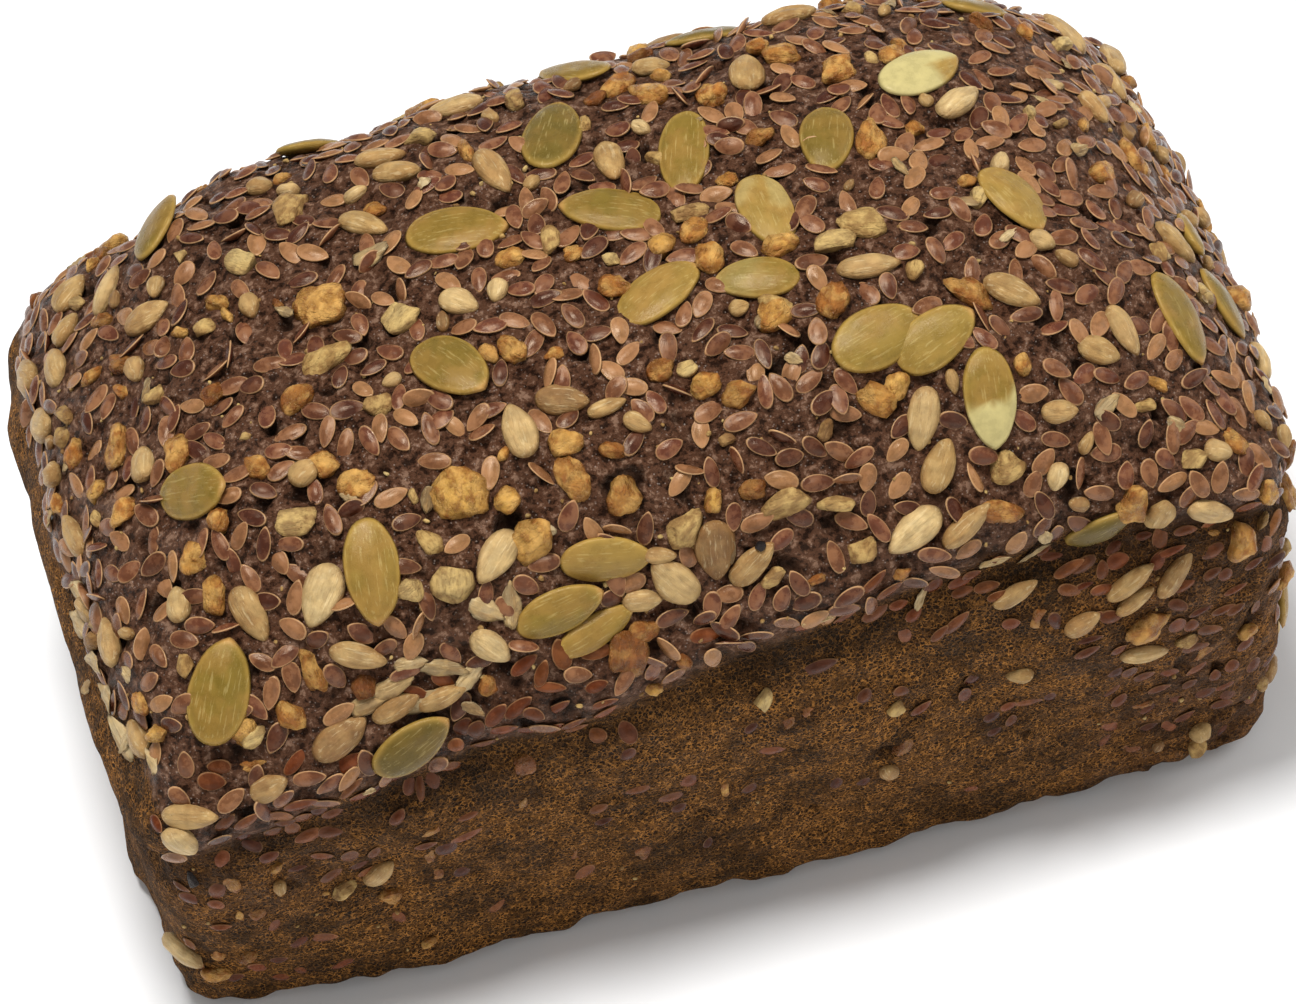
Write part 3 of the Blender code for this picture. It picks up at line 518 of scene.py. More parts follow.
def doughRelief(points, rough):
    # crags, crumbs, ridges and holes of the top, the finer wall, and the lumpy foot
    c = crustForm
    crags = noiseAt(points, c["cragSize"])
    crumbs = noiseAt(points, c["crumbSize"], 7.3)
    ridges = 0.5 - np.abs(noiseAt(points, c["ridgeSize"], 33.1)) * 2
    holes = softStep(noiseAt(points, c["holeSize"], 21.7), *c["holeRange"])
    topRelief = c["crag"] * crags + c["crumb"] * crumbs + c["ridge"] * ridges - c["hole"] * holes
    topRelief = np.where(topRelief > 0, topRelief * c["raised"], topRelief)
    wallRelief = c["wallRoughness"] * noiseAt(points, c["wallSize"], 3.1)
    footWave = noiseAt(points, c["footSize"], 11.0) + 0.5 * noiseAt(points, c["footSize"] / 2, 13.0)
    foot = softStep(1 - points[:, 2] / c["footHeight"], 0, 1) * c["footLump"] * footWave
    return topRelief, rough * topRelief + (1 - rough) * wallRelief + foot


def dentPits(points, relief):
    # the relief with its named pits and gaps, and how much painted shade each point gets in them
    pits, _ = girthSpots(pitPlaces)
    dark = np.zeros(len(points))
    for spot, place in zip(pits, pitPlaces):
        away = np.linalg.norm(points - spot, axis=1)
        dent = np.exp(-((away / (place[2] * mm)) ** 2))
        relief = relief - dent * place[3] * mm
        dark = np.maximum(dark, dent)
    return relief, dark


def buildCrust():
    c = crustForm
    points, faces, onBase = crustShell()
    piece = newPiece("crust", points, faces)
    normals = np.zeros(len(points) * 3, np.float32)
    piece.data.vertices.foreach_get("normal", normals)
    normals = normals.reshape(-1, 3)
    rough = seededZones(points)
    topRelief, relief = doughRelief(points, rough)
    relief, dark = dentPits(points, relief)
    x, y, z = points.T
    relief = np.where(onBase, 0, relief) * softStep(z, 0, c["baseFade"])
    moved = points + normals * relief[:, None]
    moved[:, 2] = np.maximum(moved[:, 2], 0)
    lowest, highest = np.array(cadBox[0]), np.array(cadBox[1])
    moved = np.clip(moved, lowest + c["boxGap"], highest - c["boxGap"])
    moved[onBase, 2] = 0
    piece.data.vertices.foreach_set("co", moved.astype(np.float32).ravel())
    # what the material reads: seeded share, painted shade in hollows, and the painted shade under the lip
    hollowShade = np.maximum(softStep(-topRelief, *c["hollowShadeRange"]) * rough, dark)
    under = lipLine(x, y) - z
    shade = softStep(under, *c["shadeStart"]) * (1 - softStep(under, *c["shadeEnd"]))
    rough = rough * (1 - c["wallTone"] * softStep(under, 0, c["lipFade"]))
    for key, values in (("topShare", rough), ("hollowShade", hollowShade), ("lipShade", shade)):
        piece.data.attributes.new(key, "FLOAT", "POINT").data.foreach_set("value", values.astype(np.float32))
    piece.data.update()
    return piece, points, faces[:-1], relief


crust, crustPoints, crustFaces, crustRelief = buildCrust()
crustTree = kdtree.KDTree(len(crustPoints))
for number, spot in enumerate(crustPoints.tolist()):
    crustTree.insert(spot, number)
crustTree.balance()
print("crust built:", len(crust.data.polygons), "faces")


def reliefAt(point):
    # the crust's relief at a seat, in millimetres
    return np.mean([crustRelief[found[1]] for found in crustTree.find_n(Vector(point), 4)]) / mm


def spreadSpots(chance, perArea):
    # places spread evenly over the crust's area
    quads = crustPoints[np.array(crustFaces)]
    areas = np.linalg.norm(np.cross(quads[:, 2] - quads[:, 0], quads[:, 3] - quads[:, 1]), axis=1) / 2
    count = int(areas.sum() / mm**2 * perArea)
    picked = chance.choice(len(quads), count, p=areas / areas.sum())
    u, v = chance.uniform(0, 1, (2, count, 1))
    q = quads[picked]
    spots = (q[:, 0] * (1 - u) + q[:, 1] * u) * (1 - v) + (q[:, 3] * (1 - u) + q[:, 2] * u) * v
    heart = np.array([0, 0, loafForm["axisHeight"]])
    return crustAt(np.tile(heart, (count, 1)), unit(spots - heart))


def flaxShare(points):
    # flax also lies in a thin band under the lip
    f = flaxForm
    x, y, z = points.T
    under = lipLine(x, y) - z
    patches = np.clip(noiseAt(points, f["patchSize"], 60.0) * f["patchGain"] + f["patchLevel"], 0, 1)
    band = f["lipBand"] * np.exp(-np.maximum(under, 0) / f["lipBandHeight"]) * patches
    share = np.maximum(seededShare(points), band)
    # most flax of the bare long wall is placed by name
    named = (y < -f["frontWall"]) & (under > 0) & (x < f["namedEnd"])
    share = np.where(named, share * f["namedShare"], share)
    bare = (x < -seeding["leftEnd"] + f["endGap"]) & (z < seeding["leftBareTop"])
    return np.where(bare | (z < seeding["lowestSeed"]), 0, share)


def seatMore(taken, radii, form, share, halfGap):
    # seats thrown by chance where no earlier seed covers the crust
    chance = np.random.RandomState(form["seed"])
    points, normals = spreadSpots(chance, form["perArea"])
    headings = chance.uniform(-math.pi, math.pi, len(points))
    rolls = chance.uniform(0, 1, len(points))
    spots = np.array(list(taken) + list(points))
    clear = np.zeros(len(spots))
    clear[:len(taken)] = radii
    count = len(taken)
    seats = []
    for turn in np.flatnonzero(rolls < share(points)):
        gap = np.linalg.norm(spots[:count] - points[turn], axis=1)
        if np.all(gap > halfGap + clear[:count]):
            spots[count] = points[turn]
            clear[count] = halfGap
            count += 1
            seats.append((points[turn], normals[turn], headings[turn]))
    return seats, list(spots[:count]), list(clear[:count])


# seeds: one ring pattern for a kind, shaped anew for every seed
def ringPattern(spokes, rings):
    # a closed shell of rings: radius, side up or down, angle
    radius, side, theta = [0.0], [1.0], [0.0]
    for r, s in rings:
        radius += [r] * spokes
        side += [s] * spokes
        theta += [2 * math.pi * i / spokes for i in range(spokes)]
    radius.append(0.0)
    side.append(-1.0)
    theta.append(0.0)
    faces = [(0, 1 + i, 1 + (i + 1) % spokes) for i in range(spokes)]
    for ring in range(len(rings) - 1):
        a, b = 1 + ring * spokes, 1 + (ring + 1) * spokes
        for i in range(spokes):
            j = (i + 1) % spokes
            faces.append((a + i, b + i, b + j, a + j))
    a, last = 1 + (len(rings) - 1) * spokes, len(radius) - 1
    faces += [(a + (i + 1) % spokes, a + i, last) for i in range(spokes)]
    theta = (np.array(theta) + math.pi) % (2 * math.pi) - math.pi
    return {"radius": np.array(radius), "side": np.array(side), "theta": theta, "faces": faces}


def shapeFlax(pattern, length, width, thickness, chance):
    r, s, th = pattern["radius"], pattern["side"], pattern["theta"]
    x = r * np.cos(th)
    point = 0.13 + chance.uniform(-0.05, 0.06)
    taper = 1 - point * x - 0.12 * np.maximum(x, 0) ** 3
    fat = chance.uniform(0.75, 1.15)
    top = np.interp(r, [0, 0.5, 0.82, 0.92, 1], [1, 0.82, 0.3, 0.34, 0.06]) * fat
    bulge = np.where(s >= 0, top, -(1 - r**2) * 0.8)
    bow = chance.uniform(-0.08, 0.08)
    bend = chance.uniform(-0.12, 0.15)
    verts = np.c_[(x + 0.04 * np.exp(-((th / 0.3) ** 2)) * r**4) * length / 2,
                  r * np.sin(th) * width / 2 * taper + bow * x**2 * width / 2,
                  bulge * thickness / 2 * (1 - 0.2 * x) + bend * (x**2 - 0.3)]
    return verts, x, np.zeros(len(x))


def shapePumpkin(pattern, length, width, thickness, chance):
    r, s, th = pattern["radius"], pattern["side"], pattern["theta"]
    x = r * np.cos(th)
    taper = 1 - 0.09 * x - 0.05 * np.maximum(x, 0) ** 3
    top = np.interp(r, [0, 0.25, 0.5, 0.7, 0.82, 0.89, 0.94, 1], [1, 0.98, 0.9, 0.76, 0.6, 0.44, 0.4, 0.04])
    bulge = np.where(s >= 0, top, -(1 - r**3) * 0.8)
    wave = noiseAt(np.c_[x * 1.4, r * np.sin(th) * 1.4, s * 0.2] + chance.uniform(0, 90), 1.0)
    bend = chance.uniform(-0.55, 0.3)
    edge = 1 + 0.03 * noiseAt(np.c_[np.cos(th) * 2, np.sin(th) * 2, th * 0] + chance.uniform(0, 90), 1.0)
    nub = 0.035 * np.exp(-((th / 0.2) ** 2)) * r**6
    verts = np.c_[(x * edge + nub) * length / 2, r * np.sin(th) * width / 2 * taper * edge,
                  bulge * thickness / 2 * (1 + 0.2 * wave) + bend * (x**2 - 0.3)]
    return verts, x, wave


def shapeKernel(pattern, length, width, thickness, chance):
    r, s, th = pattern["radius"], pattern["side"], pattern["theta"]
    x = r * np.cos(th)
    taper = 1 - 0.18 * x - 0.26 * np.maximum(x, 0) ** 2.6
    bulge = np.where(s >= 0, np.sqrt(np.clip(1 - r**2.2, 0, 1)), -np.sqrt(np.clip(1 - r**2, 0, 1)))
    wave = noiseAt(np.c_[x * 1.2, r * np.sin(th) * 1.7, bulge] + chance.uniform(0, 90), 1.0)
    lines = 0.055 * np.cos(r * np.sin(th) * 8 + chance.uniform(0, 3)) * (s >= 0) * (1 - r**3)
    verts = np.c_[x * length / 2, r * np.sin(th) * width / 2 * taper * (1 + 0.12 * wave),
                  (bulge + lines) * thickness / 2 * (1 - 0.2 * x) * (1 + 0.2 * wave)]
    return verts, x, wave


def shapeGrain(pattern, length, width, thickness, chance):
    r, s, th = pattern["radius"], pattern["side"], pattern["theta"]
    bulge = np.where(s >= 0, 1, -1) * np.sqrt(np.clip(1 - r**2.4, 0, 1))
    ball = np.c_[r * np.cos(th), r * np.sin(th), bulge]
    shift = chance.uniform(0, 90)
    for _ in range(3):
        way = unit(chance.normal(0, 1, (1, 3)))[0]
        over = np.maximum(ball @ way - chance.uniform(0.6, 0.9), 0)
        ball = ball - over[:, None] * way
    wave = noiseAt(ball + shift, 0.9) * 0.34 + noiseAt(ball + shift, 0.35) * 0.14
    verts = ball * (1 + wave[:, None]) * [length / 2, width / 2, thickness / 2]
    return verts, ball[:, 0], wave * 2


def shapeChunk(pattern, length, width, thickness, chance):
    r, s, th = pattern["radius"], pattern["side"], pattern["theta"]
    bulge = np.where(s >= 0, 1, -1) * np.sqrt(np.clip(1 - r**3.5, 0, 1))
    ball = np.c_[r * np.cos(th), r * np.sin(th), bulge]
    for _ in range(7):
        way = unit(chance.normal(0, 1, (1, 3)) * [1, 1, 0.6])[0]
        over = np.maximum(ball @ way - chance.uniform(0.5, 0.82), 0)
        ball = ball - over[:, None] * way
    wave = noiseAt(ball + chance.uniform(0, 90), 0.45)
    verts = ball * (1 + 0.1 * wave[:, None]) * [length / 2 * 1.15, width / 2 * 1.15, thickness / 2]
    return verts, ball[:, 0], wave


def shapeHusk(pattern, length, width, thickness, chance):
    # a thin curled shell, torn at its blunt end
    r, s, th = pattern["radius"], pattern["side"], pattern["theta"]
    x = r * np.cos(th)
    across = r * np.sin(th)
    taper = 1 - 0.25 * x - 0.35 * np.maximum(x, 0) ** 2
    torn = 1 + 0.16 * noiseAt(np.c_[np.cos(th) * 3, np.sin(th) * 3, th * 0] + chance.uniform(0, 90), 1.0)
    curl = chance.uniform(0.15, 0.45)
    skin = np.where(s >= 0, 0.5, -0.5) * thickness * (1 - 0.6 * r**4)
    wave = noiseAt(np.c_[x * 2, across * 2, x * 0] + chance.uniform(0, 90), 1.0)
    verts = np.c_[x * length / 2 * torn, across * width / 2 * taper * torn,
                  skin + curl * (0.6 - across**2) * width / 2 + 0.35 * wave]
    return verts, x, wave


patterns = {
    "flax": ringPattern(18, [(0.5, 1), (0.82, 1), (0.92, 1), (1.0, 0)]),
    "pumpkin": ringPattern(
        40, [(0.25, 1), (0.5, 1), (0.7, 1), (0.82, 1), (0.89, 1), (0.94, 1), (1.0, 0), (0.7, -1)]),
    "kernel": ringPattern(24, [(0.2, 1), (0.4, 1), (0.6, 1), (0.78, 1), (0.92, 1), (1.0, 0), (0.8, -1)]),
    "grain": ringPattern(22, [(0.3, 1), (0.55, 1), (0.78, 1), (0.93, 1), (1.0, 1), (0.8, -1)]),
    "chunk": ringPattern(24, [(0.3, 1), (0.55, 1), (0.76, 1), (0.9, 1), (0.97, 1), (1.0, 1), (0.85, -1)]),
    "husk": ringPattern(24, [(0.3, 1), (0.55, 1), (0.78, 1), (1.0, 0), (0.78, -1), (0.55, -1), (0.3, -1)]),
    "meal": ringPattern(8, [(0.6, 1), (1.0, 1), (0.7, -1)]),
}
patterns["char"] = patterns["chunk"]
shapers = {"flax": shapeFlax, "pumpkin": shapePumpkin, "kernel": shapeKernel, "grain": shapeGrain,
           "chunk": shapeChunk, "husk": shapeHusk, "meal": shapeChunk, "char": shapeChunk}


def withinBox(verts, lowest, highest):
    return np.all(verts >= lowest) and np.all(verts <= highest)


def turnAbout(axis, angle):
    return np.array(Matrix.Rotation(angle, 3, Vector(axis)))


grainShift = (17.3, 5.1, 3.7)   # so that no two seeds show the same grain


def sowSeeds(name, kind, seeds, tilt, chance, peels):
    # each seed: seat, size in millimetres, tone, stand in millimetres, lean
    pattern, shaper = patterns[kind], shapers[kind]
    lowest, highest = np.array(cadBox[0]), np.array(cadBox[1])
    allVerts, allFaces = [], []
    marks = {"seedRim": [], "seedAlong": [], "seedTone": [], "seedHue": [], "seedPeel": []}
    space = []
    start = 0
    for number, (seat, size, tone, stand, lean) in enumerate(seeds):
        point, normal, heading = seat
        local, along, wave = shaper(pattern, *size, chance)
        axes = seatFrame(point, normal, heading)
        lift, towards, angle, roll = lean
        swing = math.radians(tilt)
        loose = turnAbout((1, 0, 0), chance.uniform(-swing, swing) + roll) @ turnAbout(
            (0, 1, 0), chance.uniform(-swing, swing))
        turned = (local @ loose.T) @ axes
        if angle:
            turned = turned @ turnAbout(np.cross(normal, towards), -angle).T
        verts = point + (turned + normal * (stand + lift)) * mm
        if not withinBox(verts, lowest, highest):
            excess = max(np.max(verts - highest), np.max(lowest - verts))
            verts = verts - normal * (excess + 0.02 * mm)
        if not withinBox(verts, lowest, highest):
            continue
        allVerts.append(verts)
        allFaces += [tuple(start + i for i in face) for face in pattern["faces"]]
        start += len(verts)
        peel = peels[number](local / (np.array(size) / 2), wave) if number in peels else 0
        hue = chance.uniform(0, 1)
        for key, value in (("seedRim", pattern["radius"]), ("seedAlong", along), ("seedTone", tone),
                           ("seedHue", hue), ("seedPeel", peel)):
            marks[key].append(np.broadcast_to(value, len(verts)))
        space.append(local + np.array(grainShift) * number)
    attributes = {key: np.concatenate(values) for key, values in marks.items()}
    vectors = {"seedSpace": np.concatenate(space)}
    return newPiece(name, np.concatenate(allVerts), allFaces, attributes, vectors)


chance = np.random.RandomState(17)
still = (0.0, None, 0.0, 0.0)
seedForms = {
    "pumpkin": {"thickness": 2.7, "stand": 0.35, "tilt": 5},
    "kernel": {"thickness": 2.8, "stand": 0.35, "tilt": 6},
    "grain": {"thickness": 3.4, "stand": 0.2, "tilt": 8},
    "chunk": {"thickness": 3.2, "stand": 0.25, "tilt": 10},
    "husk": {"thickness": 0.3, "stand": 0.45, "tilt": 12},
    "meal": {"tilt": 40}, "char": {"tilt": 5}, "flax": {"tilt": flaxForm["tilt"]}, "sunkFlax": {"tilt": 5},
}


def plant(kind, places, seats=None, sink=0.0, dim=1.0):
    # seeds at named places; sink buries them and dim darkens them
    form = seedForms[kind]
    seats = seats or namedSeats(places)
    seeds = []
    for seat, place in zip(seats, places):
        length, width, tone = place[3:6]
        thickness = min(form["thickness"], width * 0.75) if kind != "husk" else form["thickness"]
        seeds.append((seat, (length, width, thickness), tone * dim, form["stand"] - sink * thickness, still))
    return seeds


shoulder = []
shoulderKernel = {"length": 11, "width": 6, "tone": 0.5, "start": 70 * mm, "leastRise": 0.3}


def onShoulder(seat):
    return seat[0][0] < -shoulderKernel["start"] and seat[1][2] > shoulderKernel["leastRise"]


def plantFar(kind):
    # seeds of the solid that the throw placed; on the left shoulder a kernel stands for a pumpkin seed
    usual = [plan[3] for plan in farKinds if plan[0] == kind][0]
    seeds = []
    for seat in farSeats[kind]:
        if kind == "pumpkin" and onShoulder(seat):
            k, form = shoulderKernel, seedForms["kernel"]
            size = (k["length"], k["width"], form["thickness"])
            shoulder.append((seat, size, k["tone"], form["stand"], still))
            continue
        form = seedForms[kind]
        length, width = usual[0] * chance.uniform(0.85, 1.05), usual[1] * chance.uniform(0.85, 1.05)
        size = (length, width, form["thickness"])
        seeds.append((seat, size, chance.uniform(0.2, 0.9), form["stand"], still))
    return seeds


sown = {
    "pumpkin": plant("pumpkin", pumpkinPlaces, bigSeats["pumpkin"]) + plantFar("pumpkin"),
    "kernel": plant("kernel", kernelPlaces, bigSeats["kernel"]) + plantFar("kernel")
    + plant("kernel", smallKernelPlaces),
    "grain": plant("grain", grainPlaces, bigSeats["grain"]) + plantFar("grain")
    + plant("grain", smallGrainPlaces) + plant("grain", wallGrainPlaces, sink=0.4, dim=0.55),
    "chunk": plant("chunk", chunkPlaces, bigSeats["chunk"]) + plant("chunk", smallChunkPlaces),
}
sown["kernel"] += shoulder

# three discs cover a long seed: their places along it, and their radius from its width in millimetres
coverDiscs = {"shifts": (-0.28, 0, 0.28), "widthShare": 0.36, "less": 0.25, "least": 0.3}
covered, coveredRadii = [], []
for kind, seeds in sown.items():
    for seat, size, tone, stand, lean in seeds:
        axes = seatFrame(*seat)
        radius = max(size[1] * coverDiscs["widthShare"] - coverDiscs["less"], coverDiscs["least"]) * mm
        for shift in coverDiscs["shifts"]:
            covered.append(seat[0] + axes[0] * size[0] * shift * mm)
            coveredRadii.append(radius)
firstFlax = farSeats["flax"]
wallFlax = namedSeats(wallFlaxPlaces)
covered += [seat[0] for seat in firstFlax + wallFlax]
coveredRadii += [flaxForm["spacing"] / 2] * (len(firstFlax) + len(wallFlax))

# more grains and broken kernels, small, over the whole crust
moreSeats, covered, coveredRadii = seatMore(covered, coveredRadii, looseForm, seededShare, looseForm["gap"])
for number, seat in enumerate(moreSeats):
    kind = ("grain", "chunk", "kernel", "grain")[number % 4]
    size = chance.uniform(*looseForm["size"])
    sown[kind].append((seat, (size, size * chance.uniform(0.5, 0.85), size * 0.6), chance.uniform(0.05, 0.9),
                       seedForms[kind]["stand"], still))

flaxSeats, covered, coveredRadii = seatMore(
    covered, coveredRadii, flaxForm, flaxShare, flaxForm["spacing"] / 2)
radii = [min(radius, closeFlax["spacing"] / 2) for radius in coveredRadii]
moreFlax, _, _ = seatMore(covered, radii, closeFlax, flaxShare, closeFlax["spacing"] / 2)
flaxSeats += moreFlax
print("more seeds seated:", len(moreSeats), "small,", len(flaxSeats), "flax")


def layFlax():
    # flax over the dome lies loose and shingled; flax in the walls is baked in
    f = flaxForm
    loose, sunk = [], []
    seats = firstFlax + flaxSeats
    spots = np.array([seat[0] for seat in seats])
    above = spots[:, 2] > lipLine(spots[:, 0], spots[:, 1]) + 1 * mm
    for number, seat in enumerate(seats):
        length, width = f["length"] * chance.uniform(0.86, 1.1), f["width"] * chance.uniform(0.86, 1.12)
        size = (length, width, f["thickness"])
        tone = float(np.clip(chance.normal(0.46, 0.3), 0, 1))
        lift, towards, angle, roll = still
        if number and above[number]:
            gaps = np.linalg.norm(spots[:number] - seat[0], axis=1)
            near = int(np.argmin(gaps))
            if gaps[near] < f["shingle"]:
                closeness = 1 - gaps[near] / f["shingle"]
                way = spots[near] - seat[0]
                way = way - seat[1] * way.dot(seat[1])
                towards = way / np.linalg.norm(way)
                lift, angle = f["shingleLift"] * closeness, math.radians(f["shingleTilt"]) * (0.4 + closeness)
        if above[number] and chance.uniform(0, 1) < f["edgeOn"]:
            roll = math.radians(chance.uniform(*f["edgeRoll"])) * chance.choice([-1, 1])
            lift += f["edgeLift"]
        stand = f["stand"] if above[number] else -f["wallSink"] * chance.uniform(0.2, 1)
        stand += np.clip(reliefAt(seat[0]), *f["reliefRange"])
        kept = loose if above[number] else sunk
        tone *= 1 if above[number] else f["wallTone"]
        kept.append((seat, size, tone, stand, (lift, towards, angle, roll)))
    for seat, place in zip(wallFlax, wallFlaxPlaces):
        length, width, tone = place[3:6]
        out = f["darkStand"] if tone < f["darkTone"] else f["paleStand"]
        size = (length, width, f["thickness"])
        sunk.append((seat, size, tone * f["namedTone"], out + reliefAt(seat[0]), still))
    return loose, sunk


looseFlax, sunkFlax = layFlax()


def ringSeats(seats, size):
    # how near each point of the crust lies to a baked-in seed
    near = np.zeros(len(crustPoints), np.float32)
    for seat in seats:
        for _, number, away in crustTree.find_range(Vector(seat[0]), size * 2):
            near[number] = max(near[number], math.exp(-((away / size) ** 2)))
    crust.data.attributes.new("ringed", "FLOAT", "POINT").data.foreach_set("value", near)


bakedInRing = 2.1 * mm   # how far the crust darkens round a baked-in seed
ringSeats([seed[0] for seed in sunkFlax] + namedSeats(wallGrainPlaces), bakedInRing)


# places where the green skin of a pumpkin seed is rubbed off, over local places from -1 to 1
peels = {
    12: lambda at, wave: 1 - softStep(at[:, 0] + 0.3 * wave, 0.15, 0.4) * softStep(-at[:, 1], -0.1, 0.2),
    14: lambda at, wave: softStep(at[:, 0] + 0.4 * wave, -0.1, 0.12),
    8: lambda at, wave: 0.2 * softStep(at[:, 0] + 0.6 * wave, -0.3, 0.3),
    6: lambda at, wave: 0.35 * softStep(wave, 0.0, 0.3),
}

# loose flakes of husk, and specks of meal
flakeForm = {"count": 46, "perArea": 0.004, "spacing": 5 * mm, "seed": 8,
             "length": (2.2, 4.6), "width": (1.2, 2.4), "thickness": 0.25, "stand": 0.7}
flakeSeats, _, _ = seatMore([covered[0]], [0.001], flakeForm, lambda points: np.where(
    points[:, 2] > lipLine(points[:, 0], points[:, 1]), 1, 0), flakeForm["spacing"] / 2)
flakes = [
    (seat, (chance.uniform(*flakeForm["length"]), chance.uniform(*flakeForm["width"]),
            flakeForm["thickness"]), chance.uniform(0.1, 1), flakeForm["stand"], still)
    for seat in flakeSeats[:flakeForm["count"]]]
mealForm = {"perArea": 0.02, "spacing": 1.5 * mm, "seed": 9, "share": 0.6, "size": (0.5, 1.25), "stand": 0.15}
mealSeats, _, _ = seatMore([covered[0]], [0.001], mealForm,
                           lambda points: seededShare(points) * mealForm["share"], mealForm["spacing"] / 2)
meal = [(seat, (size, size * 0.7, size * 0.6), chance.uniform(0.2, 1), mealForm["stand"], still)
        for seat in mealSeats for size in (chance.uniform(*mealForm["size"]),)]
# charred bits: place, size and stand
charPlaces = [((-81.3, -4, 90), (3.6, 1.6, 1.3), 0.0), ((6.6, 38, 40), (1.8, 1.4, 1.0), 1.5)]
charTone = 0.5
charred = [(namedSeats([place])[0], size, charTone, stand, still) for place, size, stand in charPlaces]

# the name of each piece, the pattern its seeds follow, and its seeds
crops = {
    "pumpkin": ("pumpkinSeeds", "pumpkin", sown["pumpkin"]),
    "kernel": ("sunflowerKernels", "kernel", sown["kernel"]),
    "grain": ("grains", "grain", sown["grain"]),
    "chunk": ("brokenKernels", "chunk", sown["chunk"]),
    "husk": ("kernelHusks", "husk", plant("husk", huskPlaces) + flakes),
    "meal": ("mealSpecks", "meal", meal),
    "char": ("charredBits", "char", charred),
    "flax": ("flaxSeeds", "flax", looseFlax),
    "sunkFlax": ("flaxInWalls", "flax", sunkFlax),
}
pieces = {}
for kind, (name, pattern, seeds) in crops.items():
    tilt = seedForms[kind]["tilt"]
    pieces[kind] = sowSeeds(name, pattern, seeds, tilt, chance, peels if kind == "pumpkin" else {})
    print(name, len(pieces[kind].data.polygons), "faces")


# shader groups
def addNode(tree, kind, **values):
    node = tree.nodes.new(kind)
    for key, value in values.items():
        setattr(node, key, value)
    return node


def newGroup(name, inputs, outputs):
    tree = bpy.data.node_groups.new(name, "ShaderNodeTree")
    for socket, kind, value in inputs:
        made = tree.interface.new_socket(socket, in_out="INPUT", socket_type=kind)
        if value is not None:
            made.default_value = value
    for socket, kind in outputs:
        tree.interface.new_socket(socket, in_out="OUTPUT", socket_type=kind)
    return tree, tree.nodes.new("NodeGroupInput"), tree.nodes.new("NodeGroupOutput")


def srgb(red, green, blue):
    def line(value):
        value /= 255
        return value / 12.92 if value <= 0.04045 else ((value + 0.055) / 1.055) ** 2.4
    return (line(red), line(green), line(blue), 1)


def setSocket(tree, socket, value):
    if isinstance(value, bpy.types.NodeSocket):
        tree.links.new(value, socket)
    else:
        socket.default_value = value


def mixColor(tree, factor, first, second, blend="MIX"):
    node = addNode(tree, "ShaderNodeMix", data_type="RGBA", blend_type=blend)
    for name, kind, value in (("Factor", "VALUE", factor), ("A", "RGBA", first), ("B", "RGBA", second)):
        setSocket(tree, [s for s in node.inputs if s.name == name and s.type == kind][0], value)
    return [s for s in node.outputs if s.type == "RGBA"][0]


def doMath(tree, operation, first, second=None, clamp=False):
    node = addNode(tree, "ShaderNodeMath", operation=operation, use_clamp=clamp)
    setSocket(tree, node.inputs[0], first)
    if second is not None:
        setSocket(tree, node.inputs[1], second)
    return node.outputs[0]


def mapRange(tree, value, low, high, toLow=0.0, toHigh=1.0):
    node = addNode(tree, "ShaderNodeMapRange", interpolation_type="SMOOTHSTEP")
    for name, number in (("Value", value), ("From Min", low), ("From Max", high), ("To Min", toLow),
                         ("To Max", toHigh)):
        setSocket(tree, node.inputs[name], number)
    return node.outputs["Result"]


def noiseNode(tree, vector, scale, detail=4.0, roughness=0.6):
    node = addNode(tree, "ShaderNodeTexNoise")
    tree.links.new(vector, node.inputs["Vector"])
    setSocket(tree, node.inputs["Scale"], scale)
    node.inputs["Detail"].default_value = detail
    node.inputs["Roughness"].default_value = roughness
    return node


def buildMottle():
    # three colours mixed by a noise, with a height to match
    tree, entry, out = newGroup("mottle", [
        ("Vector", "NodeSocketVector", None), ("Scale", "NodeSocketFloat", 1.0),
        ("Dark", "NodeSocketColor", (0, 0, 0, 1)), ("Middle", "NodeSocketColor", (0.5, 0.5, 0.5, 1)),
        ("Light", "NodeSocketColor", (1, 1, 1, 1)), ("Dark Amount", "NodeSocketFloat", 0.45),
        ("Light Amount", "NodeSocketFloat", 0.55),
    ], [("Color", "NodeSocketColor"), ("Height", "NodeSocketFloat")])
    fac = noiseNode(tree, entry.outputs["Vector"], entry.outputs["Scale"], 7.0, 0.68).outputs["Fac"]
    edge = doMath(tree, "SUBTRACT", entry.outputs["Dark Amount"], 0.1)
    light = doMath(tree, "ADD", entry.outputs["Light Amount"], 0.1)
    lower = mapRange(tree, fac, edge, entry.outputs["Dark Amount"])
    upper = mapRange(tree, fac, entry.outputs["Light Amount"], light)
    first = mixColor(tree, lower, entry.outputs["Dark"], entry.outputs["Middle"])
    tree.links.new(mixColor(tree, upper, first, entry.outputs["Light"]), out.inputs["Color"])
    tree.links.new(fac, out.inputs["Height"])
    return tree


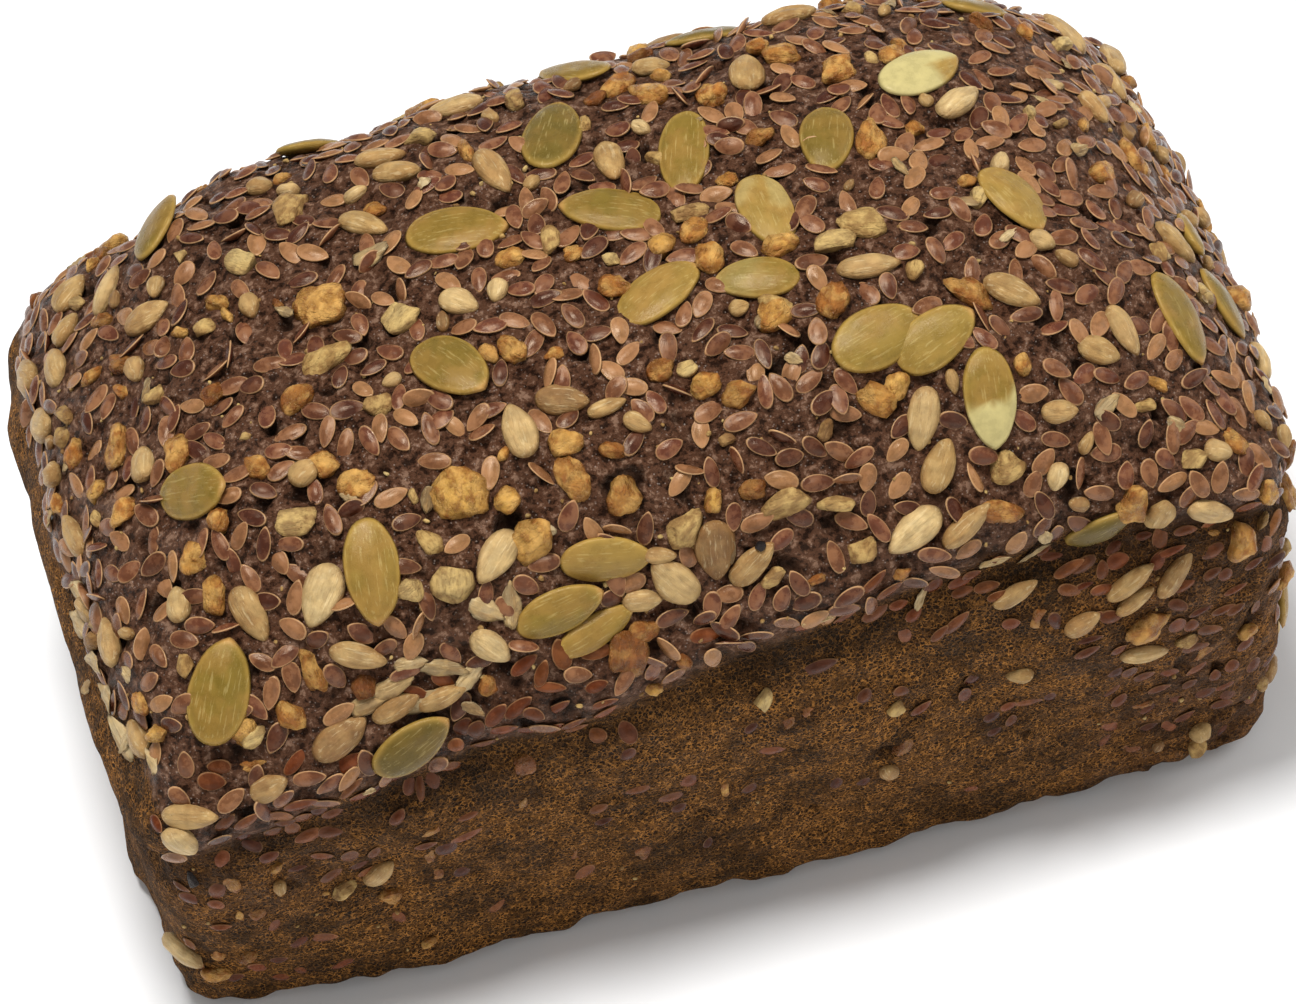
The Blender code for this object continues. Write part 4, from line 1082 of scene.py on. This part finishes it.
def buildSpots():
    # small round spots, gathered in patches
    tree, entry, out = newGroup("spots", [
        ("Vector", "NodeSocketVector", None), ("Scale", "NodeSocketFloat", 1.0),
        ("Size", "NodeSocketFloat", 0.3), ("Cover", "NodeSocketFloat", 0.5),
    ], [("Mask", "NodeSocketFloat")])
    cells = addNode(tree, "ShaderNodeTexVoronoi", feature="F1")
    tree.links.new(entry.outputs["Vector"], cells.inputs["Vector"])
    tree.links.new(entry.outputs["Scale"], cells.inputs["Scale"])
    inner = doMath(tree, "MULTIPLY", entry.outputs["Size"], 0.45)
    near = mapRange(tree, cells.outputs["Distance"], inner, entry.outputs["Size"], 1.0, 0.0)
    patchScale = doMath(tree, "MULTIPLY", entry.outputs["Scale"], 0.3)
    patches = noiseNode(tree, entry.outputs["Vector"], patchScale, 2.0)
    lowCover = doMath(tree, "SUBTRACT", 1.0, entry.outputs["Cover"])
    highCover = doMath(tree, "ADD", lowCover, 0.12)
    where = mapRange(tree, patches.outputs["Fac"], lowCover, highCover)
    tree.links.new(doMath(tree, "MULTIPLY", near, where), out.inputs["Mask"])
    return tree


def buildFoam():
    # the web of walls between pores
    tree, entry, out = newGroup("foam", [
        ("Vector", "NodeSocketVector", None), ("Scale", "NodeSocketFloat", 1.0),
        ("Web Width", "NodeSocketFloat", 0.16), ("Warp", "NodeSocketFloat", 0.6),
    ], [("Web", "NodeSocketFloat"), ("Height", "NodeSocketFloat")])
    swirlScale = doMath(tree, "MULTIPLY", entry.outputs["Scale"], 1.3)
    swirl = noiseNode(tree, entry.outputs["Vector"], swirlScale, 2.0)
    centred = addNode(tree, "ShaderNodeVectorMath", operation="SUBTRACT")
    tree.links.new(swirl.outputs["Color"], centred.inputs[0])
    centred.inputs[1].default_value = (0.5, 0.5, 0.5)
    small = addNode(tree, "ShaderNodeVectorMath", operation="SCALE")
    tree.links.new(centred.outputs[0], small.inputs[0])
    warp = doMath(tree, "DIVIDE", entry.outputs["Warp"], entry.outputs["Scale"])
    tree.links.new(warp, small.inputs["Scale"])
    moved = addNode(tree, "ShaderNodeVectorMath", operation="ADD")
    tree.links.new(entry.outputs["Vector"], moved.inputs[0])
    tree.links.new(small.outputs[0], moved.inputs[1])
    cells = addNode(tree, "ShaderNodeTexVoronoi", feature="DISTANCE_TO_EDGE")
    tree.links.new(moved.outputs[0], cells.inputs["Vector"])
    tree.links.new(entry.outputs["Scale"], cells.inputs["Scale"])
    web = mapRange(tree, cells.outputs["Distance"], 0.0, entry.outputs["Web Width"], 1.0, 0.0)
    tree.links.new(web, out.inputs["Web"])
    tree.links.new(mapRange(tree, cells.outputs["Distance"], 0.0, 0.4, 1.0, 0.0), out.inputs["Height"])
    return tree


def buildStreaks():
    # fine lines that run along a seed
    tree, entry, out = newGroup("streaks", [
        ("Vector", "NodeSocketVector", None), ("Fineness", "NodeSocketFloat", 1.0),
        ("Stretch", "NodeSocketFloat", 8.0), ("Strength", "NodeSocketFloat", 1.0),
    ], [("Mask", "NodeSocketFloat")])
    split = addNode(tree, "ShaderNodeSeparateXYZ")
    tree.links.new(entry.outputs["Vector"], split.inputs[0])
    joined = addNode(tree, "ShaderNodeCombineXYZ")
    tree.links.new(doMath(tree, "DIVIDE", split.outputs["X"], entry.outputs["Stretch"]), joined.inputs["X"])
    tree.links.new(split.outputs["Y"], joined.inputs["Y"])
    tree.links.new(split.outputs["Z"], joined.inputs["Z"])
    fac = noiseNode(tree, joined.outputs[0], entry.outputs["Fineness"], 4.0, 0.6).outputs["Fac"]
    wide = mapRange(tree, fac, 0.42, 0.66)
    tree.links.new(doMath(tree, "MULTIPLY", wide, entry.outputs["Strength"]), out.inputs["Mask"])
    return tree


def buildSeedTone():
    # a seed's colour from its tone and hue, then its rim, which on flax is partly a painted edge highlight,
    # and its tip
    tree, entry, out = newGroup("seedTone", [
        ("Tone", "NodeSocketFloat", 0.5), ("Hue", "NodeSocketFloat", 0.5), ("Rim", "NodeSocketFloat", 0.0),
        ("Along", "NodeSocketFloat", 0.0), ("Dark", "NodeSocketColor", (0, 0, 0, 1)),
        ("Middle", "NodeSocketColor", (0.5, 0.5, 0.5, 1)),
        ("Other Middle", "NodeSocketColor", (0.5, 0.5, 0.5, 1)),
        ("Light", "NodeSocketColor", (1, 1, 1, 1)), ("Rim Color", "NodeSocketColor", (1, 1, 1, 1)),
        ("Tip Color", "NodeSocketColor", (1, 1, 1, 1)), ("Rim Start", "NodeSocketFloat", 0.85),
        ("Rim Amount", "NodeSocketFloat", 0.5), ("Tip Amount", "NodeSocketFloat", 0.5),
    ], [("Color", "NodeSocketColor")])
    lower = mapRange(tree, entry.outputs["Tone"], 0.0, 0.5)
    upper = mapRange(tree, entry.outputs["Tone"], 0.5, 1.0)
    middle = mixColor(tree, entry.outputs["Hue"], entry.outputs["Middle"], entry.outputs["Other Middle"])
    base = mixColor(tree, lower, entry.outputs["Dark"], middle)
    base = mixColor(tree, upper, base, entry.outputs["Light"])
    rim = mapRange(tree, entry.outputs["Rim"], entry.outputs["Rim Start"], 1.0)
    rim = doMath(tree, "MULTIPLY", rim, entry.outputs["Rim Amount"])
    base = mixColor(tree, rim, base, entry.outputs["Rim Color"])
    tip = mapRange(tree, entry.outputs["Along"], 0.84, 0.98)
    tip = doMath(tree, "MULTIPLY", tip, entry.outputs["Tip Amount"])
    base = mixColor(tree, tip, base, entry.outputs["Tip Color"])
    tree.links.new(base, out.inputs["Color"])
    return tree


groups = {"mottle": buildMottle(), "spots": buildSpots(), "foam": buildFoam(), "streaks": buildStreaks(),
          "seedTone": buildSeedTone()}
print("shader groups built")


def useGroup(tree, name, **values):
    node = addNode(tree, "ShaderNodeGroup")
    node.node_tree = groups[name]
    for key, value in values.items():
        setSocket(tree, node.inputs[key.replace("_", " ")], value)
    return node


def newMaterial(name, roughness, specular):
    material = bpy.data.materials.new(name)
    material.use_nodes = True
    tree = material.node_tree
    shader = tree.nodes["Principled BSDF"]
    shader.inputs["Roughness"].default_value = roughness
    shader.inputs["Specular IOR Level"].default_value = specular
    shader.inputs["Specular Tint"].default_value = (1, 0.8, 0.6, 1)
    return material, tree, shader


def attributeNode(tree, name):
    node = addNode(tree, "ShaderNodeAttribute")
    node.attribute_name = name
    return node


def addBump(tree, shader, height, distance):
    bump = addNode(tree, "ShaderNodeBump")
    bump.inputs["Strength"].default_value = 1.0
    bump.inputs["Distance"].default_value = distance
    tree.links.new(height, bump.inputs["Height"])
    tree.links.new(bump.outputs["Normal"], shader.inputs["Normal"])


# the crust's finish
crustFinish = {
    "topDark": srgb(46, 26, 17), "topMiddle": srgb(104, 69, 50), "topLight": srgb(164, 127, 103),
    "wallDark": srgb(20, 9, 3), "wallMiddle": srgb(44, 23, 9), "wallLight": srgb(68, 39, 17),
    # the pore colour is also the painted shade under the lip
    "web": srgb(186, 126, 60), "poreAndShade": srgb(18, 8, 3), "poreAmount": 0.7,   # the crumb in the wall
    # the hollow colour is painted shade in the crust's hollows and pits
    "hollowShade": srgb(22, 10, 6), "hollowShadeAmount": 0.85, "glint": srgb(216, 198, 184), "glintAmount": 0.4,
    "ring": srgb(44, 20, 10), "ringAmount": 0.5, "lipShadeAmount": 0.45,
    "topScale": 700.0, "wallScale": 120.0, "glintScale": 1500.0, "foamScale": 1400.0, "fineFoam": 1.9,
    "poreScale": 640.0, "breakScale": 900.0, "wetScale": 300.0, "fineScale": 2600.0,
    "topRoughness": 0.36, "wallRoughness": 0.9, "specular": 0.22, "bump": 0.7 * mm,
}


def paintCrust(piece):
    c = crustFinish
    material, tree, shader = newMaterial("bakedRyeCrust", c["wallRoughness"], c["specular"])
    place = addNode(tree, "ShaderNodeTexCoord").outputs["Object"]
    share = attributeNode(tree, "topShare").outputs["Fac"]
    hollowShade = attributeNode(tree, "hollowShade").outputs["Fac"]
    lipShade = attributeNode(tree, "lipShade").outputs["Fac"]
    # the dough of the top, mottled, with small glints
    top = useGroup(tree, "mottle", Vector=place, Scale=c["topScale"], Dark=c["topDark"],
                   Middle=c["topMiddle"], Light=c["topLight"], Dark_Amount=0.5, Light_Amount=0.53)
    glints = useGroup(tree, "spots", Vector=place, Scale=c["glintScale"], Size=0.26, Cover=0.58)
    shine = doMath(tree, "MULTIPLY", glints.outputs["Mask"], c["glintAmount"])
    topColor = mixColor(tree, shine, top.outputs["Color"], c["glint"])
    # the crumb of the wall: a pale broken web round dark pores
    wall = useGroup(tree, "mottle", Vector=place, Scale=c["wallScale"], Dark=c["wallDark"],
                    Middle=c["wallMiddle"], Light=c["wallLight"], Dark_Amount=0.49, Light_Amount=0.52)
    foam = useGroup(tree, "foam", Vector=place, Scale=c["foamScale"], Web_Width=0.18, Warp=1.5)
    fineFoam = useGroup(tree, "foam", Vector=place, Scale=c["foamScale"] * c["fineFoam"], Web_Width=0.22,
                        Warp=1.2)
    pores = useGroup(tree, "spots", Vector=place, Scale=c["poreScale"], Size=0.34, Cover=0.52)
    breaks = mapRange(tree, noiseNode(tree, place, c["breakScale"], 3.0).outputs["Fac"], 0.36, 0.6, 0.25, 1.0)
    web = doMath(tree, "MULTIPLY", foam.outputs["Web"], breaks)
    thin = doMath(tree, "MULTIPLY", fineFoam.outputs["Web"], doMath(tree, "SUBTRACT", 1.1, breaks))
    web = doMath(tree, "MAXIMUM", web, doMath(tree, "MULTIPLY", thin, 0.5))
    web = doMath(tree, "MULTIPLY", web, mapRange(tree, wall.outputs["Height"], 0.4, 0.56, 0.42, 1.0))
    deep = doMath(tree, "SUBTRACT", 1.0, foam.outputs["Height"])
    wallColor = mixColor(tree, mapRange(tree, deep, 0.45, 0.95, 0.0, 0.9), wall.outputs["Color"], c["poreAndShade"])
    wallColor = mixColor(tree, web, wallColor, c["web"])
    poreMask = doMath(tree, "MULTIPLY", pores.outputs["Mask"], c["poreAmount"])
    wallColor = mixColor(tree, poreMask, wallColor, c["poreAndShade"])
    # both together, darker round baked-in seeds, with painted shade under the lip and in hollows
    base = mixColor(tree, share, wallColor, topColor)
    ringed = attributeNode(tree, "ringed").outputs["Fac"]
    base = mixColor(tree, doMath(tree, "MULTIPLY", ringed, c["ringAmount"]), base, c["ring"])
    base = mixColor(tree, doMath(tree, "MULTIPLY", lipShade, c["lipShadeAmount"]), base, c["poreAndShade"])
    base = mixColor(tree, doMath(tree, "MULTIPLY", hollowShade, c["hollowShadeAmount"]), base, c["hollowShade"])
    tree.links.new(base, shader.inputs["Base Color"])
    # the open top is glossier than the wall, and unevenly so
    wet = mapRange(tree, noiseNode(tree, place, c["wetScale"], 3.0).outputs["Fac"], 0.35, 0.65, -0.12, 0.18)
    openShare = doMath(tree, "MULTIPLY", share, doMath(tree, "SUBTRACT", 1.0, lipShade))
    gloss = mapRange(tree, openShare, 0.0, 1.0, c["wallRoughness"], c["topRoughness"])
    tree.links.new(doMath(tree, "ADD", gloss, wet, clamp=True), shader.inputs["Roughness"])
    # relief too fine for the mesh
    fine = noiseNode(tree, place, c["fineScale"], 5.0, 0.7).outputs["Fac"]
    topHeight = doMath(tree, "ADD", doMath(tree, "MULTIPLY", top.outputs["Height"], 2.6),
                       doMath(tree, "MULTIPLY", fine, 1.3))
    wallHeight = doMath(tree, "ADD", foam.outputs["Height"], doMath(tree, "MULTIPLY", fine, 0.5))
    wallHeight = doMath(tree, "SUBTRACT", wallHeight, pores.outputs["Mask"])
    both = addNode(tree, "ShaderNodeMix", data_type="FLOAT")
    tree.links.new(share, both.inputs["Factor"])
    tree.links.new(wallHeight, both.inputs["A"])
    tree.links.new(topHeight, both.inputs["B"])
    addBump(tree, shader, both.outputs["Result"], c["bump"])
    piece.data.materials.append(material)


# the seeds' finishes
flaxFinish = {
    "dark": srgb(64, 28, 17), "middle": srgb(108, 66, 40), "other": srgb(98, 51, 35),
    "light": srgb(152, 108, 68), "rim": srgb(212, 168, 118), "tip": srgb(168, 122, 80),
    # the pale rim is partly the seed's own lighter edge and partly a painted edge highlight
    "rimStart": 0.84, "rimAmount": 0.7, "tipAmount": 0.5,
    "roughness": 0.24, "specular": 0.4, "streak": 2.2, "stretch": 3.0, "streakDark": srgb(84, 44, 30),
    "streakAmount": 0.2, "bump": 0.06, "peel": srgb(200, 160, 110),
    "blotch": srgb(136, 96, 64), "blotchAmount": 0.4, "blotchScale": 0.5, "shading": 0.25,
    "glintLine": srgb(200, 160, 120), "glintLineScale": 2.0, "glintLineAmount": 0.0,
}
seedFinishes = {
    "flax": flaxFinish,
    "sunkFlax": dict(flaxFinish, dark=srgb(60, 22, 9), middle=srgb(106, 48, 21), other=srgb(99, 55, 25),
                     light=srgb(142, 92, 48), rimAmount=0.25, roughness=0.2, specular=0.17, blotchAmount=0.1),
    "pumpkin": {"dark": srgb(86, 72, 28), "middle": srgb(124, 97, 38), "other": srgb(116, 97, 34),
                "light": srgb(156, 125, 62), "rim": srgb(172, 138, 66), "tip": srgb(184, 138, 80),
                "rimStart": 0.78, "rimAmount": 0.6, "tipAmount": 0.8, "roughness": 0.28, "specular": 0.3,
                "streak": 0.6, "stretch": 6.0, "streakDark": srgb(98, 78, 28), "streakAmount": 0.16,
                "bump": 0.08, "peel": srgb(182, 168, 112), "blotch": srgb(150, 111, 55), "blotchAmount": 0.4,
                "blotchScale": 0.16, "glintLine": srgb(224, 204, 140), "glintLineScale": 3.2,
                "glintLineAmount": 0.16, "shading": 0.1},
    "kernel": {"dark": srgb(112, 78, 48), "middle": srgb(160, 122, 74), "other": srgb(166, 132, 80),
               "light": srgb(208, 180, 128), "rim": srgb(138, 98, 54), "tip": srgb(120, 80, 44),
               "rimStart": 0.7, "rimAmount": 0.5, "tipAmount": 0.5, "roughness": 0.38, "specular": 0.3,
               "streak": 1.2, "stretch": 7.0, "streakDark": srgb(140, 104, 60), "streakAmount": 0.4,
               "bump": 0.25, "peel": srgb(214, 194, 128), "blotch": srgb(188, 156, 102), "blotchAmount": 0.5,
               "blotchScale": 0.4, "glintLine": srgb(236, 216, 170), "glintLineScale": 2.6, "glintLineAmount": 0.25,
               "shading": 0.16},
    "grain": {"dark": srgb(96, 48, 18), "middle": srgb(164, 104, 42), "other": srgb(174, 124, 58),
              "light": srgb(202, 156, 76), "rim": srgb(124, 72, 28), "tip": srgb(124, 72, 28),
              "rimStart": 0.5, "rimAmount": 0.5, "tipAmount": 0.3, "roughness": 0.28, "specular": 0.4,
              "streak": 0.8, "stretch": 1.6, "streakDark": srgb(134, 76, 30), "streakAmount": 0.75,
              "bump": 0.4, "peel": srgb(214, 194, 128), "blotch": srgb(206, 160, 88), "blotchAmount": 0.7,
              "blotchScale": 0.45, "glintLine": srgb(236, 206, 140), "glintLineScale": 2.0, "glintLineAmount": 0.0,
              "shading": 0.25},
    "chunk": {"dark": srgb(118, 80, 48), "middle": srgb(166, 128, 78), "other": srgb(178, 140, 80),
              "light": srgb(206, 178, 118), "rim": srgb(130, 90, 48), "tip": srgb(130, 90, 48),
              "rimStart": 0.6, "rimAmount": 0.5, "tipAmount": 0.3, "roughness": 0.45, "specular": 0.3,
              "streak": 1.6, "stretch": 4.0, "streakDark": srgb(134, 96, 56), "streakAmount": 0.5,
              "bump": 0.4, "peel": srgb(214, 194, 128), "blotch": srgb(196, 166, 104), "blotchAmount": 0.6,
              "blotchScale": 0.5, "glintLine": srgb(236, 216, 160), "glintLineScale": 2.4, "glintLineAmount": 0.0,
              "shading": 0.2},
}
seedFinishes["husk"] = dict(
    seedFinishes["kernel"], dark=srgb(96, 74, 48), middle=srgb(150, 122, 84), other=srgb(136, 116, 84),
    light=srgb(196, 174, 132), rim=srgb(206, 184, 142), rimStart=0.85, streakAmount=0.6, roughness=0.5)
seedFinishes["meal"] = dict(seedFinishes["chunk"], streakAmount=0.3)
seedFinishes["char"] = dict(
    seedFinishes["chunk"], dark=srgb(16, 14, 16), middle=srgb(26, 23, 27), other=srgb(30, 27, 33),
    light=srgb(60, 54, 56), rim=srgb(20, 17, 20), tip=srgb(20, 17, 20), streakDark=srgb(12, 10, 12),
    blotchAmount=0.0, roughness=0.35)


# what the finishes of all the seeds share
allSeeds = {"patchNoise": 0.5, "darkPatches": 0.25, "glintLineStretch": 12.0, "grainScale": 5.0,
            "grainAmount": 0.6, "glossier": 0.06, "duller": 0.14}


def paintSeeds(kind, piece):
    f, a = seedFinishes[kind], allSeeds
    material, tree, shader = newMaterial(kind + "Skin", f["roughness"], f["specular"])
    space = attributeNode(tree, "seedSpace").outputs["Vector"]
    marks = {key: attributeNode(tree, key).outputs["Fac"]
             for key in ("seedTone", "seedHue", "seedRim", "seedAlong", "seedPeel")}
    own = useGroup(tree, "seedTone", Tone=marks["seedTone"], Hue=marks["seedHue"], Rim=marks["seedRim"],
                   Along=marks["seedAlong"], Dark=f["dark"], Middle=f["middle"], Other_Middle=f["other"],
                   Light=f["light"], Rim_Color=f["rim"], Tip_Color=f["tip"], Rim_Start=f["rimStart"],
                   Rim_Amount=f["rimAmount"], Tip_Amount=f["tipAmount"])
    lines = useGroup(tree, "streaks", Vector=space, Fineness=f["streak"], Stretch=f["stretch"],
                     Strength=f["streakAmount"])
    uneven = noiseNode(tree, space, a["patchNoise"], 3.0, 0.6).outputs["Fac"]
    base = mixColor(tree, lines.outputs["Mask"], own.outputs["Color"], f["streakDark"])
    patch = mapRange(tree, noiseNode(tree, space, f["blotchScale"], 3.0, 0.6).outputs["Fac"], 0.42, 0.62,
                     0.0, f["blotchAmount"])
    patch = doMath(tree, "MULTIPLY", patch,
                   mapRange(tree, marks["seedTone"], 0.0, 0.5, a["darkPatches"], 1.0))
    base = mixColor(tree, patch, base, f["blotch"])
    # fine painted glints: short bright lines along the seed
    glintLines = useGroup(tree, "streaks", Vector=space, Fineness=f["glintLineScale"],
                         Stretch=a["glintLineStretch"], Strength=1.0)
    narrow = mapRange(tree, glintLines.outputs["Mask"], 0.7, 1.0, 0.0, f["glintLineAmount"])
    base = mixColor(tree, narrow, base, f["glintLine"])
    base = mixColor(tree, marks["seedPeel"], base, f["peel"])
    shaded = addNode(tree, "ShaderNodeVectorMath", operation="SCALE")
    tree.links.new(base, shaded.inputs[0])
    shade = mapRange(tree, uneven, 0.3, 0.7, 1 - f["shading"], 1 + f["shading"])
    tree.links.new(shade, shaded.inputs["Scale"])
    tree.links.new(shaded.outputs[0], shader.inputs["Base Color"])
    gloss = mapRange(tree, uneven, 0.3, 0.7, f["roughness"] - a["glossier"], f["roughness"] + a["duller"])
    tree.links.new(gloss, shader.inputs["Roughness"])
    grain = noiseNode(tree, space, a["grainScale"], 4.0, 0.7).outputs["Fac"]
    height = doMath(tree, "ADD", lines.outputs["Mask"], doMath(tree, "MULTIPLY", grain, a["grainAmount"]))
    addBump(tree, shader, height, f["bump"] * mm)
    piece.data.materials.append(material)


paintCrust(crust)
for kind, piece in pieces.items():
    paintSeeds(kind, piece)
print("materials painted")

# riding and replacing
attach(crust, "root")
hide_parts("loaf")
for kind, piece in pieces.items():
    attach(piece, "root")
    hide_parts("loaf")

# camera, floor and light
cameraPlace = {"azimuth": 9.84, "elevation": 48.33, "roll": -6.99, "distance": 1135.5 * mm,
               "scale": 6.66, "target": (0.32 * mm, 1.6 * mm, 40 * mm), "imageWidth": 1296}


def addCamera():
    c = cameraPlace
    az, el, roll = (math.radians(c[key]) for key in ("azimuth", "elevation", "roll"))
    back = Vector((-math.sin(az) * math.cos(el), -math.cos(az) * math.cos(el), math.sin(el)))
    right = Vector((0, 0, 1)).cross(back).normalized()
    up = back.cross(right)
    turnedRight = math.cos(roll) * right + math.sin(roll) * up
    turnedUp = -math.sin(roll) * right + math.cos(roll) * up
    data = bpy.data.cameras.new("camera")
    camera = bpy.data.objects.new("camera", data)
    scene.collection.objects.link(camera)
    camera.matrix_world = Matrix((
        (turnedRight.x, turnedUp.x, back.x, c["target"][0] + back.x * c["distance"]),
        (turnedRight.y, turnedUp.y, back.y, c["target"][1] + back.y * c["distance"]),
        (turnedRight.z, turnedUp.z, back.z, c["target"][2] + back.z * c["distance"]),
        (0, 0, 0, 1)))
    data.sensor_width = 36
    data.lens = c["scale"] * c["distance"] / mm * data.sensor_width / c["imageWidth"]
    data.clip_start = 0.05
    data.clip_end = 20
    scene.camera = camera


floorForm = {"half": 4, "drop": 0.2 * mm, "color": (0.93, 0.93, 0.93, 1), "roughness": 0.9, "specular": 0.2}


def addFloor():
    f = floorForm
    verts = [(x * f["half"], y * f["half"], -f["drop"]) for x, y in ((-1, -1), (1, -1), (1, 1), (-1, 1))]
    floor = newPiece("floor", verts, [(0, 1, 2, 3)])
    material, tree, shader = newMaterial("paleFloor", f["roughness"], f["specular"])
    shader.inputs["Base Color"].default_value = f["color"]
    floor.data.materials.append(material)


skyStrength = 0.38
lamps = [
    # name, place, size, watts; all look at a point low in the loaf
    ("keyLamp", (-0.15, -0.05, 1.5), 0.45, 23),
    ("fillLamp", (0.3, -1.6, 0.9), 1.2, 4),
    ("sideLamp", (1.3, 0.1, 0.9), 0.8, 5),
]
lampAim = (0, 0, 0.05)


def addLight():
    world = bpy.data.worlds.new("studio")
    world.use_nodes = True
    sky = world.node_tree.nodes["Background"]
    sky.inputs["Color"].default_value = (1, 1, 1, 1)
    sky.inputs["Strength"].default_value = skyStrength
    scene.world = world
    for name, place, size, watts in lamps:
        data = bpy.data.lights.new(name, "AREA")
        data.shape = "DISK"
        data.size = size
        data.energy = watts
        lamp = bpy.data.objects.new(name, data)
        scene.collection.objects.link(lamp)
        lamp.location = place
        lamp.rotation_mode = "QUATERNION"
        lamp.rotation_quaternion = (Vector(lampAim) - Vector(place)).to_track_quat("-Z", "Y")


addCamera()
addFloor()
addLight()
scene.view_settings.view_transform = "Standard"
print("camera, floor and light placed")
